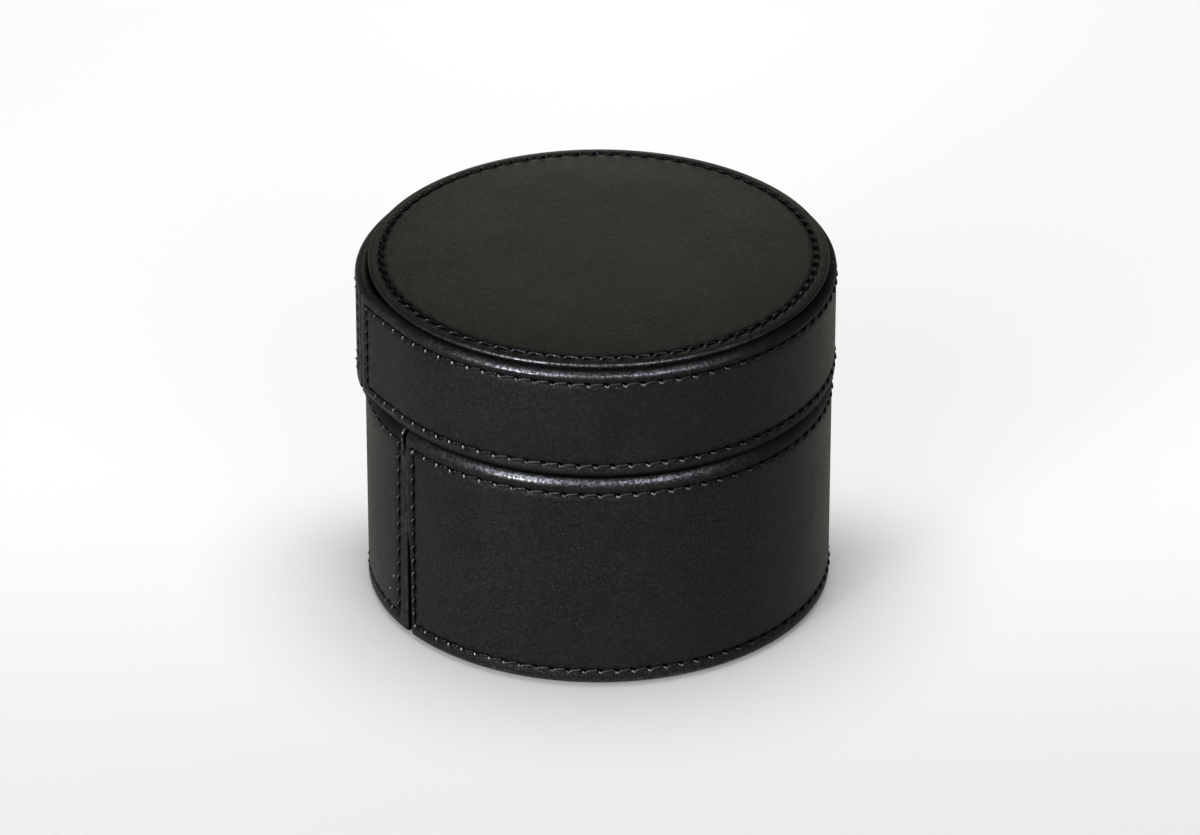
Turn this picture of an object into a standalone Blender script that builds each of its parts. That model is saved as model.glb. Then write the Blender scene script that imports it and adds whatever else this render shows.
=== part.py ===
"""Round leather jewelry box with a lift-off lid and a lift-out tray.

Metres, +Z up. The box stands on Z = 0 with its axis on Z and its front towards -Y.
Angles round the box are in degrees from the front, positive towards +X.
"""

import math

import bmesh
import bpy
from mathutils import Matrix, Vector

# Gaps between pieces
SEAT_GAP = 0.0003           # between glued or resting pieces
FOLD_GAP = 0.00025          # between folded leather and the card inside it
NECK_CLEARANCE = 0.0005     # lid lining over the neck
TRAY_CLEARANCE = 0.0004     # tray inside the neck
ROLL_GAP = 0.0004           # between neighbouring ring rolls
THREAD_GAP = 0.0001         # between a sewn line and its leather

# Thicknesses
LEATHER = 0.0009
STIFFENER = 0.0008
BASE_WALL = 0.0036
BASE_FLOOR = 0.0025
BASE_PAD = 0.0006
NECK_WALL = 0.0016
LEDGE_WALL = 0.0019
FLOOR_LINING = 0.0012
TRAY_FLOOR = 0.0018
TRAY_WALL = 0.0019
TRAY_LINING = 0.0010
DIVIDER = 0.0018
LID_BAND = 0.0031           # folded leather panel with its card
LID_TOP_BOARD = 0.0025
LID_LINING = 0.0007
CEILING_PAD = 0.0030
COVER_SKIN = 0.0008
PULL_TAB = 0.0010
THREAD = 0.0006

# Base
BASE_RADIUS = 0.0540        # outside of the leather
RIM_HEIGHT = 0.0549         # top of the rolled rim
RIM_ROLL = 0.0026           # radius of the roll over the rim
FOOT_FOLD = 0.0010          # radius of the leather's lower edge
TURN_UNDER = 0.0090         # leather turned under the floor
PAD_INSET = 0.0020
NECK_RISE = 0.0141          # neck above the rim
NECK_EDGE = 0.0005
LEDGE_HEIGHT = 0.0360       # top of the tray's ledge

# Lid
LID_OVERHANG = 0.0006       # band outside the base's leather
BAND_HEIGHT = 0.02655
BAND_LIFT = 0.0005          # band's lower edge above the lid wall's
BAND_FOOT_FOLD = 0.0005
BAND_TURN_TOP = 0.0100      # leather turned down inside the upper fold
BAND_TURN_FOOT = 0.0065     # leather turned up inside the lower fold
COVER_INSET = 0.0018        # cover's rim inside the band
COVER_EDGE = 0.0007         # radius of the cover's folded edge
COVER_CROWN = 0.0007
COVER_HEM = 0.0040          # solid folded hem round the foam
CEILING_CROWN = 0.0010
CEILING_EDGE = 0.0010       # drawn-in edge of the padded ceiling
LINING_SETBACK = 0.0005     # lid lining above the lid wall's lower edge

# Tray
TRAY_HEIGHT = 0.0257        # tray floor's underside to the wall's top
TRAY_EDGE = 0.0006
DIVIDER_Y = 0.0020          # long divider behind the box's axis
DIVIDER_DROP = 0.0030       # dividers below the wall's top
ROLL_COUNT = 4
ROLL_FRONT_SPACE = 0.0035   # front roll to the tray's wall, on the box's middle line
ROLL_HEIGHT = 0.0150
ROLL_FLAT = 0.36            # flat underside below the roll's middle, as a share of its width
ROLL_SHAPE = ((0.0, 1.0), (0.36, 0.99), (0.47, 0.93), (0.5, 0.72))  # (share of length, swell)
ROLL_SIDES = 10
ROLL_ROUNDING = 0.934       # share of the cage's width that is left once it is smoothed
TAB_ANGLE = 112.0
TAB_WIDTH = 0.0100
TAB_RISE = 0.0065           # tab above the tray wall
TAB_DEPTH = 0.0120          # tab below the top of the tray wall
TAB_CORNER = 0.0030

# Seams and sewn lines
BASE_SEAM_ANGLE = -56.0
LID_SEAM_ANGLE = -79.0
SEAM_GAP = 0.0003
SEAM_SPREAD = 0.0012        # opening of the base's seam at the foot
SEAM_SPREAD_HEIGHT = 0.0290 # where the base's seam starts to open
SEAM_CORNER = 0.0030        # rounded upper corners of a panel
SEAM_FOOT_CORNER = 0.0010   # rounded lower corners of a panel
CARD_SETBACK = 0.0015       # card ends short of its leather
SEAM_STITCH_LEFT = 0.0035
SEAM_STITCH_RIGHT = 0.0027
BASE_STITCH_FOOT = 0.0032
BASE_STITCH_RIM = 0.0045
BAND_STITCH_FOOT = 0.0026
BAND_STITCH_RIM = 0.0031
COVER_STITCH = 0.0026
STITCH_CORNER = 0.0010

# Travel
TRAY_TRAVEL = 0.0600
LID_TRAVEL = 0.0450

ROUND_STEPS = 48
STEP_ANGLE = 360.0 / ROUND_STEPS
FACET = math.cos(math.pi / ROUND_STEPS)

# Base, worked out from its outside inwards and from its foot upwards
WRAP_FOOT = BASE_PAD + SEAT_GAP
FLOOR_Z = WRAP_FOOT + LEATHER + SEAT_GAP
FLOOR_TOP = FLOOR_Z + BASE_FLOOR
CARD_OUTER = BASE_RADIUS - LEATHER - SEAT_GAP
WALL_OUTER = CARD_OUTER - STIFFENER - SEAT_GAP
WALL_INNER = WALL_OUTER - BASE_WALL
NECK_OUTER = WALL_INNER - SEAT_GAP
NECK_INNER = NECK_OUTER - NECK_WALL
NECK_TOP = RIM_HEIGHT + NECK_RISE
LEDGE_OUTER = NECK_INNER - SEAT_GAP
LEDGE_INNER = LEDGE_OUTER - LEDGE_WALL

# Lid, with heights above the lower edge of its wall
LID_Z = RIM_HEIGHT + SEAT_GAP
LID_RADIUS = BASE_RADIUS + LID_OVERHANG
BAND_INNER = LID_RADIUS - LID_BAND
BAND_TOP = BAND_LIFT + BAND_HEIGHT
COVER_RADIUS = LID_RADIUS - COVER_INSET
COVER_FOOT = BAND_TOP + FOLD_GAP
COVER_RIM = COVER_FOOT + 2 * COVER_EDGE
TOP_BOARD_TOP = COVER_FOOT - SEAT_GAP
TOP_BOARD_FOOT = TOP_BOARD_TOP - LID_TOP_BOARD
LID_WALL_OUTER = BAND_INNER - SEAT_GAP
LID_LINING_INNER = NECK_OUTER + NECK_CLEARANCE
LID_LINING_OUTER = LID_LINING_INNER + LID_LINING
LID_WALL_INNER = LID_LINING_OUTER + SEAT_GAP
CEILING_TOP = TOP_BOARD_FOOT - SEAT_GAP
CEILING_FOOT = CEILING_TOP - CEILING_PAD

# Tray, with heights above its underside
TRAY_Z = LEDGE_HEIGHT + SEAT_GAP
TRAY_OUTER = NECK_INNER - TRAY_CLEARANCE
TRAY_INNER = TRAY_OUTER - TRAY_WALL
TRAY_LINING_Z = TRAY_FLOOR + SEAT_GAP
TRAY_FLOOR_TOP = TRAY_LINING_Z + TRAY_LINING
TRAY_FIT = TRAY_INNER * FACET - SEAT_GAP
DIVIDER_BACK = DIVIDER_Y + DIVIDER / 2
DIVIDER_FRONT = DIVIDER_Y - DIVIDER / 2
ROLLS_START = DIVIDER_FRONT - SEAT_GAP
ROLLS_END = ROLL_FRONT_SPACE - TRAY_INNER
ROLL_PITCH = (ROLLS_START - ROLLS_END + ROLL_GAP) / ROLL_COUNT
ROLL_WIDTH = ROLL_PITCH - ROLL_GAP

PARTS = "round_jewelry_box"
CUTTERS = "seam_cutters"


def clear_scene():
    for thing in list(bpy.data.objects):
        bpy.data.objects.remove(thing, do_unlink=True)


def collection(name, hidden=False):
    group = bpy.data.collections.new(name)
    bpy.context.scene.collection.children.link(group)
    group.hide_render = hidden
    return group


def material(name, colour, roughness):
    made = bpy.data.materials.new(name)
    made.use_nodes = True
    shader = made.node_tree.nodes["Principled BSDF"]
    shader.inputs["Base Color"].default_value = (*colour, 1.0)
    shader.inputs["Roughness"].default_value = roughness
    shader.inputs["Metallic"].default_value = 0.0
    made.diffuse_color = (*colour, 1.0)
    return made


def place(name, data, finish, parent, location=(0.0, 0.0, 0.0)):
    """Put a mesh or curve in the parts' collection, under its body's empty."""
    thing = bpy.data.objects.new(name, data)
    bpy.data.collections[PARTS].objects.link(thing)
    thing.parent = parent
    thing.location = location
    data.materials.append(bpy.data.materials[finish])
    return thing


def body_empty(name, height, carrier=None, travel=0.0):
    """An empty on the box's axis, which carries one body's pieces and lifts by its travel."""
    empty = bpy.data.objects.new(name, None)
    bpy.data.collections[PARTS].objects.link(empty)
    empty.empty_display_size = 0.01
    empty.parent = carrier
    empty.location = (0.0, 0.0, height)
    limit = empty.constraints.new("LIMIT_LOCATION")
    limit.owner_space = "LOCAL"
    limit.use_min_z = True
    limit.use_max_z = True
    limit.min_z = height
    limit.max_z = height + travel
    return empty


def arc(centre, radius, start, end, segments):
    """Points (radius, height) of an arc, with 0 degrees outward and 90 up."""
    points = []
    for index in range(segments + 1):
        angle = math.radians(start + (end - start) * index / segments)
        points.append((centre[0] + radius * math.cos(angle), centre[1] + radius * math.sin(angle)))
    return points


def at_angle(radius, angle, height=0.0):
    turn = math.radians(angle)
    return Vector((radius * math.sin(turn), -radius * math.cos(turn), height))


def facet_reach(radius, angle):
    """Distance from the axis to the flat side of a turned piece at an angle."""
    off_middle = math.radians(angle % STEP_ANGLE - STEP_ANGLE / 2)
    return radius * FACET / math.cos(off_middle)


def half_chord(radius, offset):
    return math.sqrt(radius * radius - offset * offset)


def turned(name, outline, finish, parent, closed=True):
    """Turn an outline of (radius, height) points, outer side from top to bottom, round Z."""
    mesh = bpy.data.meshes.new(name)
    count = len(outline)
    edges = [(index, index + 1) for index in range(count - 1)]
    if closed:
        edges.append((count - 1, 0))
    mesh.from_pydata([(radius, 0.0, height) for radius, height in outline], edges, [])
    thing = place(name, mesh, finish, parent)
    turn = thing.modifiers.new("turn", "SCREW")
    turn.axis = "Z"
    turn.angle = math.tau
    turn.steps = ROUND_STEPS
    turn.render_steps = ROUND_STEPS
    turn.use_merge_vertices = True
    turn.merge_threshold = 0.00001
    turn.use_smooth_shade = False
    return thing


def tube(name, inner, outer, low, high, finish, parent, edge=0.0):
    """A straight tube, with its upper edges rounded by edge."""
    if edge:
        top = arc((inner + edge, high - edge), edge, 180, 90, 2)
        top += arc((outer - edge, high - edge), edge, 90, 0, 2)
    else:
        top = [(inner, high), (outer, high)]
    return turned(name, top + [(outer, low), (inner, low)], finish, parent)


def disc(name, radius, low, high, finish, parent):
    outline = [(0.0, high), (radius, high), (radius, low), (0.0, low)]
    return turned(name, outline, finish, parent, closed=False)


def slab(name, size, centre, finish, parent, edge=0.0004):
    """A straight board with slightly rounded edges."""
    mesh = bpy.data.meshes.new(name)
    shape = bmesh.new()
    bmesh.ops.create_cube(shape, size=1.0, matrix=Matrix.Diagonal((*size, 1.0)))
    shape.to_mesh(mesh)
    shape.free()
    thing = place(name, mesh, finish, parent, centre)
    bevel = thing.modifiers.new("soft_edges", "BEVEL")
    bevel.width = edge
    bevel.segments = 1
    return thing


def outline_plate(name, outline, thickness):
    """A flat mesh plate from an outline of (x, y) points, centred on its own plane."""
    curve = bpy.data.curves.new(name + "_outline", "CURVE")
    curve.dimensions = "2D"
    curve.fill_mode = "BOTH"
    curve.extrude = thickness / 2
    spline = curve.splines.new("POLY")
    spline.points.add(len(outline) - 1)
    for point, (across, up) in zip(spline.points, outline):
        point.co = (across, up, 0.0, 1.0)
    spline.use_cyclic_u = True
    guide = bpy.data.objects.new(name + "_outline", curve)
    bpy.context.scene.collection.objects.link(guide)
    evaluated = guide.evaluated_get(bpy.context.evaluated_depsgraph_get())
    mesh = bpy.data.meshes.new_from_object(evaluated)
    mesh.name = name
    bpy.data.objects.remove(guide, do_unlink=True)
    bpy.data.curves.remove(curve)
    shape = bmesh.new()
    shape.from_mesh(mesh)
    bmesh.ops.remove_doubles(shape, verts=shape.verts, dist=0.000001)
    shape.to_mesh(mesh)
    shape.free()
    return mesh


def upright(angle, reach, height=0.0):
    """Stand a flat plate up, facing out at an angle, with its middle at reach from the axis."""
    turn = Matrix.Rotation(math.radians(angle), 4, "Z") @ Matrix.Rotation(math.radians(90), 4, "X")
    return Matrix.Translation(at_angle(reach, angle, height)) @ turn


def seam_outline(foot, top, spread_from, foot_gap, top_gap, corner, foot_corner):
    """The opening between a panel's two ends, rounded where it meets the panel's edges."""
    over = LEATHER
    right = [(foot_gap / 2 + foot_corner, foot - over)]
    right += arc((foot_gap / 2 + foot_corner, foot + foot_corner), foot_corner, 270, 180, 2)
    right += [(top_gap / 2, spread_from)]
    right += arc((top_gap / 2 + corner, top - corner), corner, 180, 90, 4)
    right += [(top_gap / 2 + corner, top + over)]
    return right + [(-across, up) for across, up in reversed(right)]


def cutter(name, outline, angle, reach, depth, parent):
    """A hidden prism along the radius at an angle."""
    mesh = outline_plate(name, outline, depth)
    thing = bpy.data.objects.new(name, mesh)
    bpy.data.collections[CUTTERS].objects.link(thing)
    thing.parent = parent
    thing.matrix_local = upright(angle, reach)
    thing.display_type = "WIRE"
    thing.hide_render = True
    return thing


def cut(thing, tool):
    step = thing.modifiers.new("seam", "BOOLEAN")
    step.operation = "DIFFERENCE"
    step.solver = "EXACT"
    step.object = tool


def thread_curve(name, points, parent):
    """A sewn line as one closed thread through a ring of points."""
    curve = bpy.data.curves.new(name, "CURVE")
    curve.dimensions = "3D"
    curve.bevel_depth = THREAD / 2
    curve.bevel_resolution = 0
    spline = curve.splines.new("POLY")
    spline.points.add(len(points) - 1)
    for spot, point in zip(spline.points, points):
        spot.co = (*point, 1.0)
    spline.use_cyclic_u = True
    return place(name, curve, "black_thread", parent)


def panel_thread(name, radius, low, high, seam_angle, parent):
    """The thread along the four edges of a panel that is wrapped round a radius."""
    reach = radius + THREAD_GAP + THREAD / 2
    per_metre = 360.0 / (math.tau * radius)
    start = seam_angle + SEAM_STITCH_RIGHT * per_metre
    end = seam_angle + 360.0 - SEAM_STITCH_LEFT * per_metre
    chamfer = STITCH_CORNER * per_metre
    first = math.floor((start + chamfer) / STEP_ANGLE) + 1
    last = math.ceil((end - chamfer) / STEP_ANGLE) - 1
    across = [start + chamfer]
    across += [index * STEP_ANGLE for index in range(first, last + 1)]
    across += [end - chamfer]
    route = [(start, high - STITCH_CORNER)]
    route += [(angle, high) for angle in across]
    route += [(end, high - STITCH_CORNER), (end, low + STITCH_CORNER)]
    route += [(angle, low) for angle in reversed(across)]
    route += [(start, low + STITCH_CORNER)]
    points = [at_angle(facet_reach(reach, angle), angle, height) for angle, height in route]
    return thread_curve(name, points, parent)


def cover_height(radius):
    """Upper surface of the lid's cover, crowned inside its folded edge."""
    share = min(radius / (COVER_RADIUS - COVER_EDGE), 1.0)
    return COVER_RIM + COVER_CROWN * (1.0 - share ** 4)


def make_base():
    empty = body_empty("base_axis", 0.0)
    disc("base_pad", BASE_RADIUS - PAD_INSET, 0.0, BASE_PAD, "suede", empty)
    disc("base_floor", WALL_INNER - SEAT_GAP, FLOOR_Z, FLOOR_TOP, "board", empty)
    wall_top = RIM_HEIGHT - LEATHER - SEAT_GAP
    tube("base_wall", WALL_INNER, WALL_OUTER, FLOOR_Z, wall_top, "board", empty)
    neck_foot = FLOOR_TOP + SEAT_GAP
    tube("base_neck", NECK_INNER, NECK_OUTER, neck_foot, NECK_TOP, "suede", empty, NECK_EDGE)
    tube("tray_ledge", LEDGE_INNER, LEDGE_OUTER, neck_foot, LEDGE_HEIGHT, "suede", empty, NECK_EDGE)
    lining_top = neck_foot + FLOOR_LINING
    disc("floor_lining", LEDGE_INNER - SEAT_GAP, neck_foot, lining_top, "suede", empty)

    roll = (BASE_RADIUS - RIM_ROLL, RIM_HEIGHT - RIM_ROLL)
    fold = (BASE_RADIUS - FOOT_FOLD, WRAP_FOOT + FOOT_FOLD)
    turn_in = BASE_RADIUS - FOOT_FOLD - TURN_UNDER
    rim_inner = NECK_OUTER + SEAT_GAP
    wrap = [(rim_inner, RIM_HEIGHT)]
    wrap += arc(roll, RIM_ROLL, 90, 0, 4)
    wrap += arc(fold, FOOT_FOLD, 0, -90, 2)
    wrap += [(turn_in, WRAP_FOOT), (turn_in, WRAP_FOOT + LEATHER)]
    wrap += [(BASE_RADIUS - LEATHER, WRAP_FOOT + LEATHER)]
    wrap += arc(roll, RIM_ROLL - LEATHER, 0, 90, 3)
    wrap += [(rim_inner, RIM_HEIGHT - LEATHER)]
    leather = turned("base_wrap", wrap, "black_leather", empty)
    card = tube("base_stiffener", CARD_OUTER - STIFFENER, CARD_OUTER, FLOOR_Z, roll[1], "board", empty)

    seam = seam_outline(WRAP_FOOT, RIM_HEIGHT, SEAM_SPREAD_HEIGHT, SEAM_SPREAD, SEAM_GAP,
                        SEAM_CORNER, SEAM_FOOT_CORNER)
    card_gap = SEAM_SPREAD + 2 * CARD_SETBACK
    card_seam = seam_outline(FLOOR_Z, roll[1], SEAM_SPREAD_HEIGHT, card_gap, card_gap,
                             STIFFENER, STIFFENER)
    reach = BASE_RADIUS - TURN_UNDER / 2
    depth = 2 * TURN_UNDER
    cut(leather, cutter("base_seam", seam, BASE_SEAM_ANGLE, reach, depth, empty))
    cut(card, cutter("base_card_seam", card_seam, BASE_SEAM_ANGLE, reach, depth, empty))
    low = WRAP_FOOT + BASE_STITCH_FOOT
    high = RIM_HEIGHT - BASE_STITCH_RIM
    panel_thread("base_thread", BASE_RADIUS, low, high, BASE_SEAM_ANGLE, empty)
    return empty


def make_ring_roll(name, length, centre_y, parent):
    """A padded roll along X, flat underneath, with a crown and drawn-in ends."""
    mesh = bpy.data.meshes.new(name)
    shape = bmesh.new()
    bmesh.ops.create_cone(shape, cap_ends=True, segments=ROLL_SIDES, radius1=0.5, radius2=0.5,
                          depth=1.0, matrix=Matrix.Rotation(math.radians(90), 4, "Y"))
    for share, _ in ROLL_SHAPE[:-1]:
        for station in {share, -share}:
            every = shape.verts[:] + shape.edges[:] + shape.faces[:]
            bmesh.ops.bisect_plane(shape, geom=every, plane_co=(station, 0, 0), plane_no=(1, 0, 0))
    for vertex in shape.verts:
        swell = min(ROLL_SHAPE, key=lambda pair: abs(pair[0] - abs(vertex.co.x)))[1]
        vertex.co.y *= swell
        vertex.co.z = max(vertex.co.z * swell, -ROLL_FLAT) + ROLL_FLAT
    tall = max(vertex.co.z for vertex in shape.verts)
    wide = 2 * max(vertex.co.y for vertex in shape.verts) * ROLL_ROUNDING
    scale = Matrix.Diagonal((length, ROLL_WIDTH / wide, ROLL_HEIGHT / tall, 1.0))
    bmesh.ops.transform(shape, matrix=scale, verts=shape.verts)
    shape.to_mesh(mesh)
    shape.free()
    roll = place(name, mesh, "suede", parent, (0.0, centre_y, TRAY_FLOOR_TOP + SEAT_GAP))
    soften = roll.modifiers.new("soften", "SUBSURF")
    soften.levels = 1
    soften.render_levels = 1
    mesh.shade_smooth()
    return roll


def make_pull_tab(name, angle, parent):
    """A flat tab against the inside of the tray's wall, rounded at its top."""
    half = TAB_WIDTH / 2
    tall = TAB_RISE + TAB_DEPTH
    outline = [(-half, 0.0), (half, 0.0)]
    outline += arc((half - TAB_CORNER, tall - TAB_CORNER), TAB_CORNER, 0, 90, 4)
    outline += arc((TAB_CORNER - half, tall - TAB_CORNER), TAB_CORNER, 90, 180, 4)
    mesh = outline_plate(name, outline, PULL_TAB)
    reach = half_chord(TRAY_FIT, half) - PULL_TAB / 2
    tab = place(name, mesh, "black_leather", parent)
    tab.matrix_local = upright(angle, reach, TRAY_HEIGHT - TAB_DEPTH)
    return tab


def make_tray(base):
    empty = body_empty("tray_lift_axis", TRAY_Z, base, TRAY_TRAVEL)
    disc("tray_floor", TRAY_OUTER, 0.0, TRAY_FLOOR, "suede", empty)
    tube("tray_wall", TRAY_INNER, TRAY_OUTER, TRAY_LINING_Z, TRAY_HEIGHT, "suede", empty, TRAY_EDGE)
    disc("tray_lining", TRAY_INNER - SEAT_GAP, TRAY_LINING_Z, TRAY_FLOOR_TOP, "suede", empty)

    foot = TRAY_FLOOR_TOP + SEAT_GAP
    tall = TRAY_HEIGHT - DIVIDER_DROP - foot
    long_size = 2 * half_chord(TRAY_FIT, max(abs(DIVIDER_BACK), abs(DIVIDER_FRONT)))
    slab("tray_divider", (long_size, DIVIDER, tall), (0.0, DIVIDER_Y, foot + tall / 2), "suede", empty)
    cross_start = DIVIDER_BACK + SEAT_GAP
    cross_end = half_chord(TRAY_FIT, DIVIDER / 2)
    cross_size = cross_end - cross_start
    slab("tray_cross_divider", (DIVIDER, cross_size, tall),
         (0.0, cross_start + cross_size / 2, foot + tall / 2), "suede", empty)

    for index in range(ROLL_COUNT):
        centre_y = ROLLS_START - ROLL_WIDTH / 2 - index * ROLL_PITCH
        length = 2 * half_chord(TRAY_FIT, abs(centre_y) + ROLL_WIDTH / 2)
        make_ring_roll(f"ring_roll_{index + 1}", length, centre_y, empty)
    make_pull_tab("pull_tab_right", TAB_ANGLE, empty)
    make_pull_tab("pull_tab_left", -TAB_ANGLE, empty)
    return empty


def make_band(empty):
    half = LID_BAND / 2
    fold = (LID_RADIUS - half, BAND_TOP - half)
    foot_fold = (LID_RADIUS - BAND_FOOT_FOLD, BAND_LIFT + BAND_FOOT_FOLD)
    turned_in = BAND_INNER + LEATHER
    inside_foot = BAND_LIFT + LEATHER
    outline = arc(fold, half, 180, 0, 8)
    outline += arc(foot_fold, BAND_FOOT_FOLD, 0, -90, 2)
    outline += [(BAND_INNER, BAND_LIFT), (BAND_INNER, BAND_LIFT + BAND_TURN_FOOT)]
    outline += [(turned_in, BAND_LIFT + BAND_TURN_FOOT), (turned_in, inside_foot)]
    outline += [(LID_RADIUS - LEATHER, inside_foot)]
    outline += arc(fold, half - LEATHER, 0, 180, 4)
    outline += [(turned_in, BAND_TOP - BAND_TURN_TOP), (BAND_INNER, BAND_TOP - BAND_TURN_TOP)]
    band = turned("lid_band", outline, "black_leather", empty)
    card = tube("lid_stiffener", turned_in + FOLD_GAP, LID_RADIUS - LEATHER - FOLD_GAP,
                inside_foot + FOLD_GAP, fold[1], "board", empty)

    seam = seam_outline(BAND_LIFT, BAND_TOP, BAND_TOP / 2, SEAM_GAP, SEAM_GAP,
                        SEAM_CORNER, SEAM_FOOT_CORNER)
    card_gap = SEAM_GAP + 2 * CARD_SETBACK
    card_seam = seam_outline(inside_foot, fold[1], BAND_TOP / 2, card_gap, card_gap,
                             STIFFENER, STIFFENER)
    reach = LID_RADIUS - half
    depth = 3 * LID_BAND
    cut(band, cutter("lid_seam", seam, LID_SEAM_ANGLE, reach, depth, empty))
    cut(card, cutter("lid_card_seam", card_seam, LID_SEAM_ANGLE, reach, depth, empty))
    low = BAND_LIFT + BAND_STITCH_FOOT
    high = BAND_TOP - BAND_STITCH_RIM
    panel_thread("lid_band_thread", LID_RADIUS, low, high, LID_SEAM_ANGLE, empty)


def make_cover(empty):
    edge = (COVER_RADIUS - COVER_EDGE, COVER_FOOT + COVER_EDGE)
    foam_radius = edge[0] - COVER_HEM
    recess = foam_radius + SEAT_GAP
    shares = (0.0, 0.35, 0.6, 0.8, 0.92)
    cover = [(share * edge[0], cover_height(share * edge[0])) for share in shares]
    cover += arc(edge, COVER_EDGE, 90, -90, 4)
    cover += [(recess, COVER_FOOT)]
    under = [(share * recess, cover_height(share * recess) - COVER_SKIN)
             for share in (1.0, 0.8, 0.6, 0.35, 0.0)]
    turned("lid_cover", cover + under, "black_leather", empty, closed=False)
    foam = [(share * foam_radius, cover_height(share * recess) - COVER_SKIN - SEAT_GAP)
            for share in (0.0, 0.35, 0.6, 0.8, 1.0)]
    foam += [(foam_radius, COVER_FOOT), (0.0, COVER_FOOT)]
    turned("lid_cover_foam", foam, "foam", empty, closed=False)

    ring = COVER_RADIUS - COVER_STITCH
    height = cover_height(ring) + THREAD_GAP + THREAD / 2
    points = [at_angle(ring, index * STEP_ANGLE, height) for index in range(ROUND_STEPS)]
    thread_curve("lid_cover_thread", points, empty)


def make_ceiling_pad(empty):
    """The padded ceiling, which swells down between its drawn-in edges."""
    outline = [(0.0, CEILING_TOP), (LID_LINING_OUTER, CEILING_TOP)]
    outline += [(LID_LINING_OUTER, CEILING_FOOT + CEILING_EDGE)]
    inside = LID_LINING_OUTER - CEILING_EDGE
    for share in (1.0, 0.9, 0.7, 0.4, 0.0):
        outline.append((share * inside, CEILING_FOOT - CEILING_CROWN * (1 - share ** 3)))
    turned("lid_ceiling_pad", outline, "suede", empty, closed=False)


def make_lid(tray):
    empty = body_empty("lid_lift_axis", LID_Z - TRAY_Z, tray, LID_TRAVEL)
    wall_top = TOP_BOARD_FOOT - SEAT_GAP
    tube("lid_wall", LID_WALL_INNER, LID_WALL_OUTER, 0.0, wall_top, "board", empty)
    disc("lid_top_board", LID_WALL_OUTER, TOP_BOARD_FOOT, TOP_BOARD_TOP, "board", empty)
    lining_top = CEILING_FOOT - SEAT_GAP
    tube("lid_lining", LID_LINING_INNER, LID_LINING_OUTER, LINING_SETBACK, lining_top, "suede", empty)
    make_ceiling_pad(empty)
    make_band(empty)
    make_cover(empty)


def main():
    clear_scene()
    collection(PARTS)
    collection(CUTTERS, hidden=True)
    material("black_leather", (0.022, 0.022, 0.021), 0.42)
    material("black_thread", (0.030, 0.030, 0.032), 0.50)
    material("board", (0.38, 0.34, 0.28), 0.85)
    material("suede", (0.30, 0.26, 0.22), 0.95)
    material("foam", (0.72, 0.70, 0.64), 0.90)
    base = make_base()
    tray = make_tray(base)
    make_lid(tray)


main()
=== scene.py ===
# Looks of a round leather jewelry box with a lift-off lid and a lift-out tray.
# Metres, +Z up, the front towards -Y. Angles round the box are in degrees from the front,
# positive towards +X. A leather panel is a grid: along it round the box, down its profile.

import math

import bmesh
import bpy
import numpy as np
from mathutils import Matrix, Vector


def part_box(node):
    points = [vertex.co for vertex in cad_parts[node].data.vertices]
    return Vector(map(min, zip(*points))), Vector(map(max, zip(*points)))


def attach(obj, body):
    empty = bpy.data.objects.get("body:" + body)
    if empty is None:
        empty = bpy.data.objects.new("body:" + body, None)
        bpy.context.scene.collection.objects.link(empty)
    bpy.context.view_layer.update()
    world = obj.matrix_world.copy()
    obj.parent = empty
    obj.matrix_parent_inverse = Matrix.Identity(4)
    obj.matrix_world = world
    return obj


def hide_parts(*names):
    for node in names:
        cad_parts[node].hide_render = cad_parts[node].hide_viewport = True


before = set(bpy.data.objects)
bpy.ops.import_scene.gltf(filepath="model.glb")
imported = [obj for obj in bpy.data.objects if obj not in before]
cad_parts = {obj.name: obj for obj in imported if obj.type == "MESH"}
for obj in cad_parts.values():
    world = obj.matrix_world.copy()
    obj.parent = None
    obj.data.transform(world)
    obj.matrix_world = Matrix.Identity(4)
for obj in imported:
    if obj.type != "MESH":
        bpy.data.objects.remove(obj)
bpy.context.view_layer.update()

MM = 0.001


def low(node):
    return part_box(node)[0]


def high(node):
    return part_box(node)[1]


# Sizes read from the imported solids
BASE_R = high("base_wrap").x
BASE_FOOT = low("base_wrap").z
RIM_Z = high("base_wrap").z
NECK_R = high("base_neck").x
LID_R = high("lid_band").x
BAND_FOOT = low("lid_band").z
BAND_TOP = high("lid_band").z
COVER_R = high("lid_cover").x
COVER_FOOT = low("lid_cover").z
COVER_TOP = high("lid_cover").z

# Leather panels
LEATHER = 0.9 * MM
RIM_ROLL = 2.6 * MM
FOOT_FOLD = 1.0 * MM
BAND_FOLD = 0.55 * MM
TURN_UNDER = 9.0 * MM       # leather glued under the floor
BAND_THICK = 3.1 * MM
END_FOLD = 1.0 * MM         # radius of a panel's folded end
FURROW = 0.22 * MM          # leather pulled down by a sewn line
FURROW_WIDTH = 0.80 * MM
MARGIN_PUFF = 0.14 * MM     # swell between a sewn line and the edge
FLARE = 1.55 * MM           # how far the lid band's ends stand proud
FLARE_RIGHT = 16.0 * MM     # length over which they do, each side of the band's seam
FLARE_LEFT = 46.0 * MM
COVER_EDGE = 0.6 * MM       # radius of the cover's folded edge
COVER_PROUD = 0.25 * MM     # cover's soft edge past its solid
COVER_SKIN = 0.8 * MM
BASE_SEAM, BAND_SEAM = -54.4, -75.5   # where the upright seams are

# How burnished a fold is, beside 1 for a rolled rim at the front
END_RUB, FOOT_RUB = 0.30, 0.35
# How much shade is painted on the leather between the lid's foot and the base's roll, and in an
# open seam
FOOT_SHADE, GAP_SHADE = 0.85, 0.95

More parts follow.
